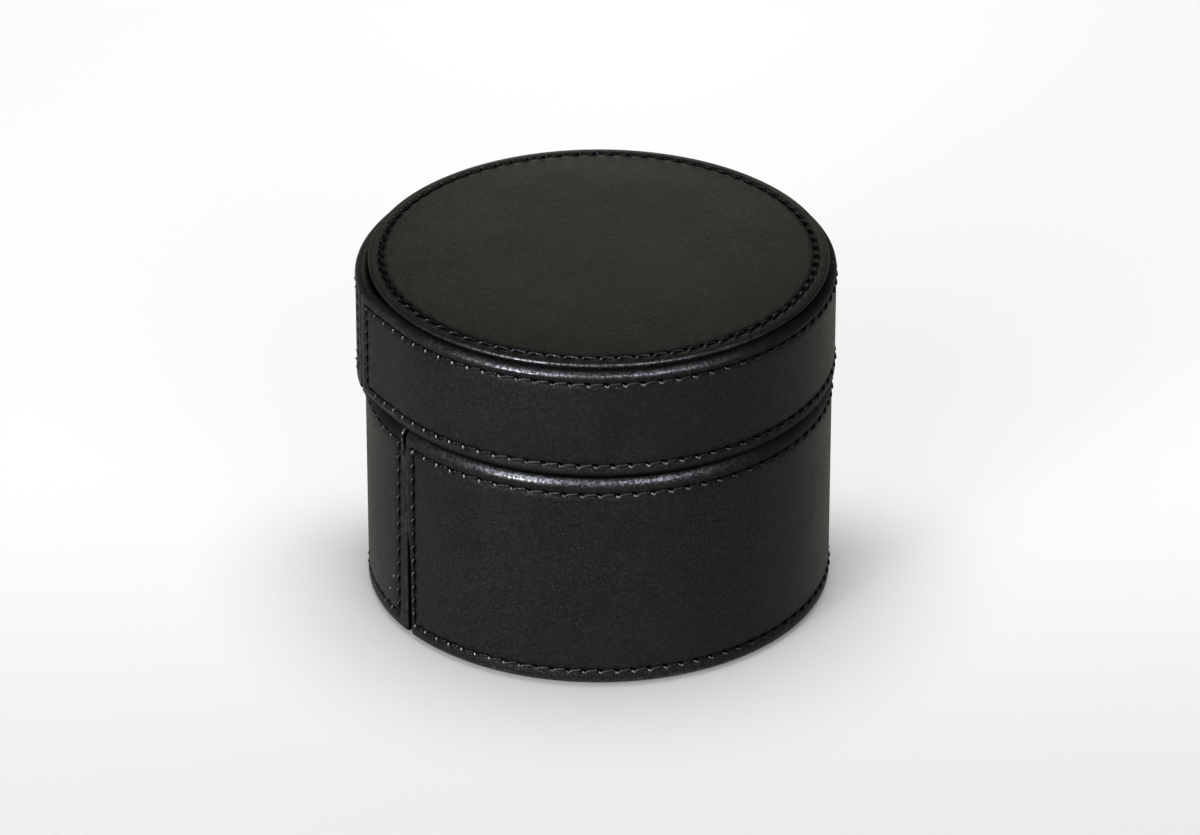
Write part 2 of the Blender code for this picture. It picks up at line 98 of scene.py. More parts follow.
# Sewing
THREAD = 0.56 * MM
STITCH_RISE = 0.46 * MM     # middle of the thread above the furrow
STITCH_DIVE = 0.42 * MM     # ends of a stitch below the furrow
STITCH_SLANT = 0.62 * MM    # one end of a stitch above the other
UPRIGHT_SLANT = 0.45        # share of that slant in the upright lines
UPRIGHT_SHADE, COVER_SHADE = 0.72, 0.35   # painted shade on the thread there: how much less it shines
BASE_LOW, BASE_HIGH = 4.1 * MM, 50.4 * MM
BAND_LOW, BAND_HIGH = 58.3 * MM, 79.15 * MM
BASE_PITCHES = (4.08 * MM, 3.80 * MM, 3.66 * MM)   # of the upper, lower and upright lines
BAND_PITCHES = (4.12 * MM, 3.96 * MM, 3.20 * MM)
COVER_PITCH = 4.05 * MM
# How far the right and the left upright line keep from the panel's ends, at the upper and at
# the lower line
BASE_INSETS = (2.25 * MM, 2.12 * MM), (3.21 * MM, 4.40 * MM)
BAND_INSETS = (3.7 * MM, 3.7 * MM), (3.5 * MM, 3.5 * MM)
COVER_RING = 50.2 * MM      # radius of the cover's sewn ring

BLACK = (0.0, 0.0, 0.0)


def at_angle(radius, angle, height):
    turn = math.radians(angle)
    return Vector((radius * math.sin(turn), -radius * math.cos(turn), height))


def climb(value, start, length):
    """How far a value has gone from a start over a length, which may be below 0, as 0 to 1."""
    return min(max((value - start) / length, 0.0), 1.0)


def new_object(name, data):
    thing = bpy.data.objects.new(name, data)
    bpy.context.scene.collection.objects.link(thing)
    return thing


def add_mesh(name, verts, faces, smooth=True):
    """A new object at the origin from points and faces."""
    mesh = bpy.data.meshes.new(name)
    mesh.from_pydata([tuple(v) for v in verts], [], faces)
    mesh.validate()
    if smooth:
        mesh.shade_smooth()
    return new_object(name, mesh)


def object_from(name, shape):
    """A new object from a bmesh, which is freed."""
    mesh = bpy.data.meshes.new(name)
    shape.to_mesh(mesh)
    shape.free()
    return new_object(name, mesh)


def evaluated_mesh(thing):
    graph = bpy.context.evaluated_depsgraph_get()
    return bpy.data.meshes.new_from_object(thing.evaluated_get(graph), depsgraph=graph)


def make_plain(thing):
    """Turn an object's evaluated shape into its own plain mesh."""
    mesh = evaluated_mesh(thing)
    thing.modifiers.clear()
    mesh.name, thing.data = thing.data.name, mesh
    return thing


def grid_faces(rows, wide):
    """Faces between rows of points, each row joined round into a ring."""
    faces = []
    for first in range(0, (rows - 1) * wide, wide):
        for side in range(wide):
            after = (side + 1) % wide
            faces.append((first + side, first + after, first + wide + after, first + wide + side))
    return faces


def set_fold(mesh, values):
    """Store how burnished each point of the leather is, or below 0 how much shade is painted on it.
    """
    mesh.attributes.new("fold", "FLOAT", "POINT").data.foreach_set("value", values)


def recalculate(thing):
    """Join double points and turn all faces outward."""
    shape = bmesh.new()
    shape.from_mesh(thing.data)
    bmesh.ops.remove_doubles(shape, verts=shape.verts, dist=1e-7)
    bmesh.ops.recalc_face_normals(shape, faces=shape.faces)
    shape.to_mesh(thing.data)
    shape.free()
    return thing


def finish(thing, body, slot, material, *nodes):
    """Give a piece its material and its body, and hide the solids that it stands for. Its slot is
    not used.
    """
    thing.data.materials.clear()
    thing.data.materials.append(material)
    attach(thing, body)
    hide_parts(*nodes)


# Node trees

class Wire:
    """A value in a node tree. Each sum or product of wires is one Math node."""

    def __init__(self, tree, socket):
        self.tree, self.socket = tree, socket

    def __add__(self, other):
        return calc("ADD", self, other)

    def __sub__(self, other):
        return calc("SUBTRACT", self, other)

    def __rsub__(self, other):
        return calc("SUBTRACT", other, self)

    def __mul__(self, other):
        return calc("MULTIPLY", self, other)

    def __truediv__(self, other):
        return calc("DIVIDE", self, other)

    def most(self, other):
        return calc("MAXIMUM", self, other)

    def ramp(self, from_low, from_high, to_low=0.0, to_high=1.0, smooth=True):
        """This value, mapped from one range to another."""
        return add_node(self.tree, "ShaderNodeMapRange", {
            "Value": self, "From Min": from_low, "From Max": from_high, "To Min": to_low,
            "To Max": to_high}, "Result",
            interpolation_type="SMOOTHSTEP" if smooth else "LINEAR")

    def colour(self, first, second):
        """The first colour where this value is 0 and the second where it is 1."""
        return add_node(self.tree, "ShaderNodeMix", {0: self, 6: first, 7: second}, 2,
                        data_type="RGBA")


def plug(tree, value, socket):
    """Link a wire to a socket, or give the socket a constant."""
    if isinstance(value, Wire):
        tree.links.new(value.socket, socket)
    else:
        socket.default_value = (*value, 1.0) if socket.type == "RGBA" else value


def add_node(tree, kind, inputs=None, output=0, **settings):
    """A new node's output as a wire, or a list of wires where several outputs are named."""
    made = tree.nodes.new(kind)
    for key, value in settings.items():
        setattr(made, key, value)
    for key, value in (inputs or {}).items():
        plug(tree, value, made.inputs[key])
    if isinstance(output, tuple):
        return [Wire(tree, made.outputs[key]) for key in output]
    return Wire(tree, made.outputs[output])


def calc(operation, *values, clamp=False):
    """The result of one Math node."""
    tree = next(value.tree for value in values if isinstance(value, Wire))
    return add_node(tree, "ShaderNodeMath", dict(enumerate(values)), operation=operation,
                    use_clamp=clamp)


def noise(tree, place, scale, detail=2.0, roughness=0.5, **more):
    return add_node(tree, "ShaderNodeTexNoise", {"Vector": place, "Scale": scale, "Detail": detail,
                    "Roughness": roughness, **more}, "Fac")


def attribute(tree, name):
    return add_node(tree, "ShaderNodeAttribute", output="Fac", attribute_name=name)


def new_tree(name, inputs, family="Shader"):
    """A node tree and its named inputs as wires. An input is given as its number or its kind."""
    tree = bpy.data.node_groups.new(name, family + "NodeTree")
    for label, value in inputs.items():
        kind = value if isinstance(value, str) else "Int" if isinstance(value, int) else "Float"
        socket = tree.interface.new_socket(label, in_out="INPUT", socket_type="NodeSocket" + kind)
        if value != kind:
            socket.default_value = value
    entry = tree.nodes.new("NodeGroupInput")
    return tree, *[Wire(tree, entry.outputs[label]) for label in inputs]


def close_tree(tree, outputs, kind="Float"):
    """Give a node tree its named outputs."""
    for label in outputs:
        tree.interface.new_socket(label, in_out="OUTPUT", socket_type="NodeSocket" + kind)
    end = tree.nodes.new("NodeGroupOutput")
    for label, value in outputs.items():
        plug(tree, value, end.inputs[label])
    return tree


def use_group(tree, group, inputs, output):
    return add_node(tree, "ShaderNodeGroup", inputs, output, node_tree=group)


def group_leather_grain():
    """Fine pebbled grain with creases between the pebbles, and slow changes of tone."""
    tree, given, pebbles = new_tree("leather_grain", {"Place": "Vector", "Pebbles": 2400.0})
    wander = add_node(tree, "ShaderNodeTexNoise", {"Vector": given, "Scale": 900.0, "Detail": 2.0},
                      "Color")
    shift = add_node(tree, "ShaderNodeVectorMath", {0: wander, 1: (0.0003, 0.0003, 0.0003)},
                     operation="MULTIPLY")
    place = add_node(tree, "ShaderNodeVectorMath", {0: given, 1: shift}, operation="ADD")
    pebble = add_node(tree, "ShaderNodeTexVoronoi", {"Vector": place, "Scale": pebbles},
                      "Distance", feature="DISTANCE_TO_EDGE")
    crease = pebble.ramp(0.0, 0.16, 1.0, 0.0)
    height = noise(tree, given, 5200.0, 3.0, 0.6) * 0.45 + noise(tree, given, 1900.0)
    sparkle = noise(tree, given, 1700.0, 2.0, 0.7)
    slow = noise(tree, given, 55.0, 4.0, 0.6)
    return close_tree(tree, {"Height": height - crease * 0.55, "Crease": crease,
                             "Sparkle": sparkle.ramp(0.44, 0.60), "Tone": slow.ramp(0.3, 0.7)})


def group_needle_holes():
    """Masks of the needle's holes, of the thread's bed and of the leather they pull down, along a
    sewn line. The leather paints the holes and the bed as shade.

    Sewn is (stitches along the line, mm across it), Pitch is in mm.
    """
    tree, sewn, pitch, stretch = new_tree("needle_holes", {"Sewn": "Vector", "Pitch": 4.0,
                                                           "Stretch": 0.62})
    count, across = add_node(tree, "ShaderNodeSeparateXYZ", {0: sewn}, (0, 1))
    along = (calc("FRACT", count + 100.5) - 0.5) * pitch * stretch
    beside = across - 0.30
    reach = calc("SQRT", along * along + beside * beside)
    furrow_shade = calc("ABSOLUTE", across - 0.10)
    return close_tree(tree, {"Hole": reach.ramp(0.42, 0.64, 1.0, 0.0),
                             "Furrow shade": furrow_shade.ramp(0.20, 0.46, 1.0, 0.0),
                             "Pull": reach.ramp(0.3, 1.5, 1.0, 0.0)})


def group_sides():
    """A mask of the box's sides and back. Start and End are angles from the front, in radians."""
    tree, place, start, end = new_tree("box_sides", {"Place": "Vector", "Start": 0.50, "End": 0.75})
    x, y = add_node(tree, "ShaderNodeSeparateXYZ", {0: place}, (0, 1))
    turn = calc("ARCTAN2", calc("ABSOLUTE", x), y * -1.0)
    share = (turn - start) / (end - start)
    return close_tree(tree, {"Side": share.ramp(0.0, 1.0)})


def group_edge_wear():
    """Patches on folds where the finish has rubbed."""
    tree, place, fold, amount = new_tree("edge_wear", {"Place": "Vector", "Fold": 0.0,
                                                       "Amount": 0.5})
    patch = noise(tree, place, 420.0, 4.0, 0.65).ramp(0.42, 0.72)
    return close_tree(tree, {"Wear": patch * fold * amount})


def group_dust():
    """A few pale specks."""
    tree, place, spacing, size = new_tree("dust_specks", {"Place": "Vector", "Spacing": 90.0,
                                                          "Size": 0.03})
    distance, chance = add_node(tree, "ShaderNodeTexVoronoi", {"Vector": place, "Scale": spacing},
                                ("Distance", "Color"), feature="F1")
    size = size * add_node(tree, "ShaderNodeSeparateXYZ", {0: chance})
    return close_tree(tree, {"Speck": calc("LESS_THAN", distance, size)})


def group_fibres():
    """Short felted fibres: nap on suede, and the flecks of greyboard."""
    tree, place, fineness = new_tree("felted_fibres", {"Place": "Vector", "Fineness": 2600.0})
    fibre = noise(tree, place, fineness, 4.0, 0.7)
    tone = fibre * 0.6 + noise(tree, place, 85.0, 3.0, Distortion=0.6) * 0.4
    return close_tree(tree, {"Height": fibre, "Tone": tone.ramp(0.36, 0.64)})


# Materials

def feed(tree, shader, **inputs):
    """Set or link inputs of a shader."""
    for key, value in inputs.items():
        plug(tree, value, shader.inputs[key.replace("_", " ")])


def new_material(name, roughness, **constants):
    """A Principled material with its constants on the shader, and its tree, shader and place."""
    made = bpy.data.materials.new(name)
    made.use_nodes = True
    tree = made.node_tree
    shader = tree.nodes["Principled BSDF"]
    feed(tree, shader, Roughness=roughness, **constants)
    return made, tree, shader, add_node(tree, "ShaderNodeTexCoord", output="Object")


def bump(tree, height, depth, strength=1.0, invert=False, **under):
    return add_node(tree, "ShaderNodeBump", {"Height": height, "Distance": depth,
                    "Strength": strength, **under}, "Normal", invert=invert)


def leather_material(name, colour, groups, sewn=True):
    """Satin leather. Painted shade: black colour, with Metallic on near-black to take the sheen
    off, in the needle holes, along the thread's bed and where the fold attribute is below 0.
    """
    made, tree, shader, place = new_material(name, 0.44, IOR=1.22, Coat_Roughness=0.30,
                                             Coat_IOR=1.71)
    height, crease, sparkle, slow = use_group(tree, groups["grain"], {"Place": place},
                                              ("Height", "Crease", "Sparkle", "Tone"))
    fold = attribute(tree, "fold")
    wear = use_group(tree, groups["wear"], {"Place": place, "Fold": fold}, "Wear")
    dust = use_group(tree, groups["dust"], {"Place": place}, "Speck")
    tone = slow.colour(colour, tuple(part * 1.45 for part in colour))
    tone = (crease * 0.35).colour(tone, (0.006, 0.006, 0.006))
    tone = wear.colour(tone, (0.055, 0.055, 0.056))
    tone = (dust * 0.8).colour(tone, (0.35, 0.34, 0.32))
    rough = slow.ramp(0.0, 1.0, 0.40, 0.46, smooth=False) + crease * 0.10 - sparkle * 0.08
    dull_and_painted_shade = sparkle.ramp(0.0, 1.0, 0.55, 0.0, smooth=False)
    under = {}
    if sewn:
        line = add_node(tree, "ShaderNodeUVMap", output="UV", uv_map="sewn")
        side = use_group(tree, groups["sides"], {"Place": place}, "Side")
        stretch = side.ramp(0.0, 1.0, 0.62, 0.46)
        hole, furrow_shade, pull = use_group(tree, groups["holes"], {"Sewn": line, "Stretch": stretch},
                                    ("Hole", "Furrow shade", "Pull"))
        # Painted shade: the needle holes, the thread's bed (less at the sides) and the leather
        # where its fold is below 0 are made black, rougher and without sheen
        dark = hole.most(furrow_shade * side.ramp(0.0, 1.0, 0.6, 0.35)).most(fold * -1.0)
        tone = dark.colour(tone, BLACK)
        rough = rough + dark * 0.4
        dull_and_painted_shade = dull_and_painted_shade.most(dark)
        under["Normal"] = bump(tree, hole + pull, 0.25 * MM, invert=True)
    burnish = calc("MULTIPLY", fold, sparkle.ramp(0.0, 1.0, 0.15, 1.0, smooth=False), clamp=True)
    feed(tree, shader, Base_Color=tone, Roughness=rough, Metallic=dull_and_painted_shade, Coat_Weight=burnish,
         Normal=bump(tree, height, 0.11 * MM, **under))
    return made


def thread_material(groups):
    """Waxed black thread, laid up from twisted plies.

    Painted shade takes its shine off along a stitch's tail, on upright and cover lines and to the
    right, and a painted highlight greys its heads at the left.
    """
    made, tree, shader, place = new_material("waxed_thread", 0.34, IOR=1.62)
    along = attribute(tree, "thread_along")
    twist = along * 5.0 + attribute(tree, "thread_around")
    ply = calc("SINE", twist * math.tau)
    fibre = use_group(tree, groups["fibres"], {"Place": place, "Fineness": 6000.0}, "Tone")
    tone = fibre.colour((0.004, 0.004, 0.0045), (0.010, 0.010, 0.011))
    tone = ply.ramp(-1.0, -0.2, 0.6, 0.0).colour(tone, (0.004, 0.004, 0.004))
    side = use_group(tree, groups["sides"], {"Place": place, "Start": 0.1, "End": 0.65}, "Side")
    dull_and_painted_shade = attribute(tree, "thread_painted_shade")
    x, y = add_node(tree, "ShaderNodeSeparateXYZ", {0: place}, (0, 1))
    leftward = calc("ARCTAN2", x * -1.0, y * -1.0)
    # Painted shade: Metallic on the near-black thread takes its shine off along each stitch's tail
    # (less at the front), on lines given painted shade and towards the box's right
    tail = along.ramp(0.20, 0.32) * side.ramp(0.0, 1.0, 0.50, 0.95)
    tail = tail.most(dull_and_painted_shade).most((leftward * -1.0).ramp(0.25, 0.80, 0.0, 0.85))
    # Painted highlight: the stitches' heads are greyed on the box's front left, less on lines given
    # painted shade
    painted_head_glint = leftward.ramp(0.22, 0.62) * leftward.ramp(1.0, 1.3, 1.0, 0.0)
    painted_head_glint = painted_head_glint * along.ramp(0.17, 0.26, 1.0, 0.0) * dull_and_painted_shade.ramp(0.0, 0.6, 1.0, 0.0, smooth=False)
    feed(tree, shader, Metallic=tail, Base_Color=painted_head_glint.colour(tone, (0.19, 0.19, 0.20)),
         Roughness=fibre.ramp(0.0, 1.0, 0.27, 0.38, smooth=False),
         Normal=bump(tree, ply, 0.05 * MM, 0.7))
    return made


def suede_material(groups):
    made, tree, shader, place = new_material("mushroom_suede", 0.92, Sheen_Weight=0.25,
                                             Sheen_Roughness=0.5, IOR=1.35)
    height, nap = use_group(tree, groups["fibres"], {"Place": place}, ("Height", "Tone"))
    dust = use_group(tree, groups["dust"], {"Place": place, "Spacing": 120.0}, "Speck")
    tone = nap.colour((0.235, 0.207, 0.170), (0.335, 0.300, 0.250))
    feed(tree, shader, Base_Color=(dust * 0.3).colour(tone, (0.5, 0.46, 0.4)),
         Roughness=nap.ramp(0.0, 1.0, 0.86, 0.97), Normal=bump(tree, height, 0.10 * MM, 0.7))
    return made


def board_material(groups, name, roughness, fineness, dark, pale, depth, **constants):
    """Board with felted flecks. roughness is that of its low and of its high spots."""
    made, tree, shader, place = new_material(name, (roughness[0] + roughness[1]) / 2, **constants)
    height, flecks = use_group(tree, groups["fibres"], {"Place": place, "Fineness": fineness},
                               ("Height", "Tone"))
    feed(tree, shader, Base_Color=flecks.colour(dark, pale),
         Roughness=height.ramp(0.3, 0.7, *roughness), Normal=bump(tree, height, depth, 0.5))
    return made


def foam_material(groups):
    made, tree, shader, place = new_material("foam_sheet", 0.9)
    cells = add_node(tree, "ShaderNodeTexVoronoi", {"Vector": place, "Scale": 2200.0}, "Distance")
    flecks = use_group(tree, groups["fibres"], {"Place": place, "Fineness": 900.0}, "Tone")
    feed(tree, shader, Base_Color=flecks.colour((0.66, 0.64, 0.58), (0.76, 0.74, 0.68)),
         Roughness=cells.ramp(0.0, 0.6, 0.95, 0.82), Normal=bump(tree, cells, 0.15 * MM, 0.6))
    return made


def make_materials():
    groups = {"grain": group_leather_grain(), "holes": group_needle_holes(),
              "wear": group_edge_wear(), "dust": group_dust(), "fibres": group_fibres(),
              "sides": group_sides()}
    return {
        "leather": leather_material("satin_black_leather", (0.0037, 0.0035, 0.0028), groups),
        "strap": leather_material("tab_leather", (0.014, 0.0137, 0.013), groups, sewn=False),
        "thread": thread_material(groups), "suede": suede_material(groups),
        "board": board_material(groups, "greyboard", (0.78, 0.92), 1400.0, (0.30, 0.27, 0.22),
                                (0.45, 0.41, 0.34), 0.08 * MM),
        "black_board": board_material(groups, "black_faced_board", (0.74, 0.88), 1800.0,
                                      (0.006, 0.006, 0.006), (0.012, 0.012, 0.011), 0.05 * MM,
                                      IOR=1.3),
        "foam": foam_material(groups)}


# Profiles: rows of (radius, height, facing out, facing up, fold)

def run(start, end, places):
    """Rows along a straight run, at shares of its length, facing left of its direction."""
    along = Vector((end[0] - start[0], end[1] - start[1]))
    facing = along.normalized()
    return [(start[0] + along.x * share, start[1] + along.y * share, -facing.y, facing.x, 0.0)
            for share in places]


def handled(angle):
    """How burnished a fold is, by where it is round the box: most at the front."""
    turn = (angle + 180.0) % 360.0 - 180.0
    return 0.25 + 0.75 * math.exp(-(turn / 42.0) ** 6)


def right_shade(turn):
    """How much shade is painted on the rolled rims at the box's right side, which also takes their
    burnish off.
    """
    return 0.45 * climb(turn, 26.0, 20.0) * climb(turn, 120.0, -20.0)


def rubbed(up):
    """How burnished a rolled rim is, by how far its leather faces up: most on its shoulder."""
    return climb(up, 0.05, 0.35) * climb(up, 0.95, -0.22)


def fold_over(centre, radius, start, end, steps, fold):
    """Rows round a fold, from one angle to another. A fold of 1 is a rolled rim."""
    rows = []
    for index in range(steps + 1):
        angle = math.radians(start + (end - start) * index / steps)
        side, up = math.cos(angle), math.sin(angle)
        sheen_and_painted_shade = rubbed(up) if fold == 1.0 else fold
        rows.append((centre[0] + radius * side, centre[1] + radius * up, side, up, sheen_and_painted_shade))
    return rows


def graded(start, end, marks, fine, coarse, reach):
    """Places from start to end, close together near the marks."""
    sign = 1.0 if end > start else -1.0
    places = [start]
    while True:
        spot = places[-1]
        near = min(abs(spot + sign * fine - mark) for mark in marks)
        step = min(coarse, fine + max(0.0, near - reach) * 0.45)
        if abs(end - spot) <= 1.5 * step:
            return places + [end]
        places.append(spot + sign * step)


def wall_rows(radius, top, foot, marks):
    places = graded(top, foot, marks, 0.26 * MM, 2.2 * MM, 1.3 * MM)
    return [(radius, height, 1.0, 0.0, 0.0) for height in places[1:-1]]


def base_rows():
    roll = (BASE_R - RIM_ROLL, RIM_Z - RIM_ROLL)
    foot = (BASE_R - FOOT_FOLD, BASE_FOOT + FOOT_FOLD)
    rows = run((NECK_R + 0.3 * MM, RIM_Z), (roll[0], RIM_Z), [0.0, 0.25, 0.5, 0.75, 0.92])
    for *row, sheen_and_painted_shade in fold_over(roll, RIM_ROLL, 90, 0, 16, 1.0):
        # Painted shade on the roll's top, under the lid's foot: its burnish goes below 0 there
        under_lid = climb(row[3], 0.74, 0.07)
        rows.append((*row, sheen_and_painted_shade * (1.0 - under_lid) - FOOT_SHADE * under_lid))
    rows += wall_rows(BASE_R, roll[1], foot[1], (BASE_LOW, BASE_HIGH))
    rows += fold_over(foot, FOOT_FOLD, 0, -90, 6, FOOT_RUB)
    rows += run((foot[0], BASE_FOOT), (foot[0] - TURN_UNDER, BASE_FOOT), [0.1, 0.4, 0.7, 1.0])
    return rows


def band_rows():
    half = BAND_THICK / 2
    inside = LID_R - BAND_THICK
    roll = (LID_R - half, BAND_TOP - half)
    outer_foot = (LID_R - BAND_FOLD, BAND_FOOT + BAND_FOLD)
    inner_foot = (inside + BAND_FOLD, BAND_FOOT + BAND_FOLD)
    rows = run((inside, BAND_TOP - 10.0 * MM), (inside, roll[1]), [0.0, 0.35, 0.7, 0.93])
    rows += fold_over(roll, half, 180, 0, 22, 1.0)
    rows += wall_rows(LID_R, roll[1], outer_foot[1], (BAND_LOW, BAND_HIGH))
    # The band's foot folds get painted shade, beside the base's roll
    rows += fold_over(outer_foot, BAND_FOLD, 0, -90, 6, -FOOT_SHADE)[1:]
    rows += fold_over(inner_foot, BAND_FOLD, -90, -180, 6, -FOOT_SHADE)
    rows += run((inside, inner_foot[1]), (inside, BAND_FOOT + 6.5 * MM), [0.2, 0.6, 1.0])
    return rows


# Which way is the raised end of a stitch: 1 out over the edge, -1 in over the panel
UPHILL = {"high": 1.0, "low": -1.0, "right": -1.0, "left": 1.0}
LEVEL = ("high", "low")


class Sewing:
    """The four sewn lines of a panel, and where they run on its leather.

    lines are the heights of the lower and the upper line, and insets how far the right and
    the left line keep from the panel's ends, at the upper and at the lower line.
    """

    def __init__(self, radius, seam, rows, lines, pitches, insets, flare=0.0):
        self.radius, self.seam, self.rows, self.flare = radius, seam, rows, flare
        self.low, self.high = lines
        self.right, self.left = insets
        self.around = math.tau * radius
        middle = (self.low + self.high) / 2
        length = self.left_line(middle) - self.right_line(middle)
        upright = round((self.high - self.low) / pitches[2])
        self.counts = {"high": round(length / pitches[0]), "low": round(length / pitches[1]),
                       "right": upright, "left": upright}

    def share(self, height):
        """How far down a height is, from the upper line to the lower."""
        return (self.high - height) / (self.high - self.low)

    def right_line(self, height):
        return self.right[0] + (self.right[1] - self.right[0]) * self.share(height)

    def left_line(self, height):
        return self.around - self.left[0] - (self.left[1] - self.left[0]) * self.share(height)

    def level(self, line):
        """The height of a level line, and where along the panel it starts and ends."""
        height = self.high if line == "high" else self.low
        return height, self.right_line(height), self.left_line(height)

    def sides(self, along, height):
        """Signed distances outwards past each of the four lines."""
        return {"high": height - self.high, "low": self.low - height,
                "right": self.right_line(height) - along,
                "left": along - self.left_line(height)}

    def across(self, line, along, height, sign=1.0):
        """Distance from a sewn line, signed outwards, and from its end where it has stopped."""
        sides = self.sides(along, height)
        past = max(0.0, *(sides[key] for key in sides if (key in LEVEL) != (line in LEVEL)))
        return math.copysign(math.hypot(sides[line], past), sign) if past else sides[line]

    def phase(self, line, along, height):
        """How many stitches along its line a point is."""
        share = self.share(height)
        if line in LEVEL:
            _, start, end = self.level(line)
            share = (along - start) / (end - start)
        return share * self.counts[line]

    def lift(self, along, height):
        """Swell above and furrow below the plain leather."""
        sides = self.sides(along, height)
        outside = [max(value, 0.0) for value in sides.values()]
        reach = math.hypot(*outside) if any(outside) else max(sides.values())
        furrow = FURROW * math.exp(-(reach / FURROW_WIDTH) ** 2)
        puff = MARGIN_PUFF * climb(reach, 0.0, 1.4 * MM)
        return puff + 0.5 * MARGIN_PUFF * climb(reach, 0.0, -3.0 * MM) - furrow

    def proud(self, along):
        """How far the panel's ends stand out past its round."""
        nearest, reach = min((along, FLARE_RIGHT), (self.around - along, FLARE_LEFT))
        share = climb(nearest, 0.0, reach)
        return self.flare * (1.0 - share * share * (3.0 - 2.0 * share))

    def angle(self, along):
        return self.seam + math.degrees(along / self.radius)

    def guides(self):
        """(points, stitches, slant, share of painted shade on the thread) of each sewn line, at the
        bottom of its furrow.
        """
        found = []
        for line in UPHILL:
            points = []
            steps = 240 if line in LEVEL else 24
            for share in (index / steps for index in range(steps + 1)):
                if line in LEVEL:
                    height, start, end = self.level(line)
                    along = start + (end - start) * share
                else:
                    height = self.high + (self.low - self.high) * share
                    along = (self.right_line if line == "right" else self.left_line)(height)
                radius = self.radius + self.proud(along) - FURROW
                points.append(at_angle(radius, self.angle(along), height))
            # Upright lines get painted shade on their thread
            slant, painted_shade_share = ((STITCH_SLANT, 0.0) if line in LEVEL
                               else (STITCH_SLANT * UPRIGHT_SLANT, UPRIGHT_SHADE))
            found.append((points, self.counts[line], slant, painted_shade_share))
        return found


def fold_columns():
    """(along, depth) of the columns that turn in at a panel's end, as shares of the fold."""
    turns = [math.radians(angle) for angle in (18, 36, 54, 72)]
    return [(0.0, 2.0), (0.0, 1.5), (0.0, 1.0)] + [(1.0 - math.cos(turn), 1.0 - math.sin(turn))
                                                   for turn in turns]


def make_panel(name, sewing, right_edge, left_edge, deep, burnish_and_painted_shade):
    """A leather panel wrapped round the box, with folded ends that meet at its seam.

    right_edge(height) and left_edge(height) are how far the ends draw back from the seam, and
    deep is how far they turn in past their fold. The last argument, called with (turn, height,
    fold), is how burnished the leather is, or below 0 how much shade is painted on it.
    """
    around = sewing.around
    marks = [0.0, around]
    for level in (sewing.low, sewing.high):
        marks += [sewing.right_line(level), sewing.left_line(level)]
    inner = graded(END_FOLD, around - END_FOLD, marks, 0.30 * MM, 1.35 * MM, 1.6 * MM)
    ends = [(share * END_FOLD, depth) for share, depth in fold_columns()]
    columns = [("right", *end) for end in ends] + [("inner", along, 0.0) for along in inner]
    columns += [("left", *end) for end in reversed(ends)]
    verts, folds, laid = [], [], []
    for radius, height, side, up, fold in sewing.rows:
        start, end = right_edge(height), left_edge(height)
        gap = climb(start + end, 0.0, 0.4 * MM)
        on_wall = climb(side, 0.35, 0.6)
        for part, along, depth in columns:
            turned = depth * END_FOLD
            if depth > 1.0:
                turned = END_FOLD + (depth - 1.0) * (deep * on_wall + 0.1 * MM * (1.0 - on_wall))
            if part == "right":
                spot = start + along
            elif part == "left":
                spot = around - end - along
            else:
                share = along / around
                spot = along + start * (1.0 - share) ** 24 - end * share ** 24
            lift = sewing.lift(spot, height) * on_wall
            angle = sewing.angle(spot)
            if part != "inner":
                lift *= max(0.0, 1.0 - depth)
                # In an open seam the folded ends get painted shade, below 0
                sheen_and_painted_shade = END_RUB if depth < 0.3 else END_RUB * (1.0 - gap) - GAP_SHADE * gap
            else:
                sheen_and_painted_shade = burnish_and_painted_shade((angle + 180.0) % 360.0 - 180.0, height, fold)
                if fold > 0.0:
                    sheen_and_painted_shade *= 1.0 - 0.7 * climb(min(spot, around - spot), 6.0 * MM, -6.0 * MM)
            out = lift - turned
            verts.append(at_angle(radius + sewing.proud(spot) + side * out, angle,
                                  height + up * out))
            folds.append(sheen_and_painted_shade)
            laid.append((spot, height))
    wide = len(columns)
    faces = [(first, first + wide, first + wide + 1, first + 1)
             for first in range(len(verts) - wide) if (first + 1) % wide]
    panel = add_mesh(name, verts, faces)
    mesh = panel.data
    set_fold(mesh, folds)
    uv = mesh.uv_layers.new(name="sewn")
    for face in mesh.polygons:
        middle = [sum(laid[v][k] for v in face.vertices) / len(face.vertices) for k in (0, 1)]
        line = min(UPHILL, key=lambda key: abs(sewing.across(key, *middle)))
        sign = sewing.sides(*middle)[line]
        for corner in face.loop_indices:
            along, height = laid[mesh.loops[corner].vertex_index]
            across = sewing.across(line, along, height, sign) * UPHILL[line] / MM
            uv.data[corner].uv = (sewing.phase(line, along, height), across)
    skin = panel.modifiers.new("leather", "SOLIDIFY")
    skin.thickness = LEATHER
    skin.offset = -1.0
    return make_plain(panel)


# Turned pieces

def soft_outline(points, steps=4):
    """Round the corners of an outline of (radius, height, corner)."""
    found = []
    for index, (radius, height, corner) in enumerate(points):
        if corner <= 0.0:
            found.append((radius, height))
            continue
        here = Vector((radius, height))
        before = (Vector(points[index - 1][:2]) - here).normalized()
        after = (Vector(points[(index + 1) % len(points)][:2]) - here).normalized()
        half = before.angle(after) / 2
        reach = corner / math.tan(half)
        centre = here + (before + after).normalized() * (corner / math.sin(half))
        first, last = here + before * reach, here + after * reach
        start = math.atan2(first.y - centre.y, first.x - centre.x)
        turn = math.atan2(last.y - centre.y, last.x - centre.x) - start
        turn = (turn + math.pi) % math.tau - math.pi
        for step in range(steps + 1):
            angle = start + turn * step / steps
            found.append((centre.x + corner * math.cos(angle),
                          centre.y + corner * math.sin(angle)))
    return found


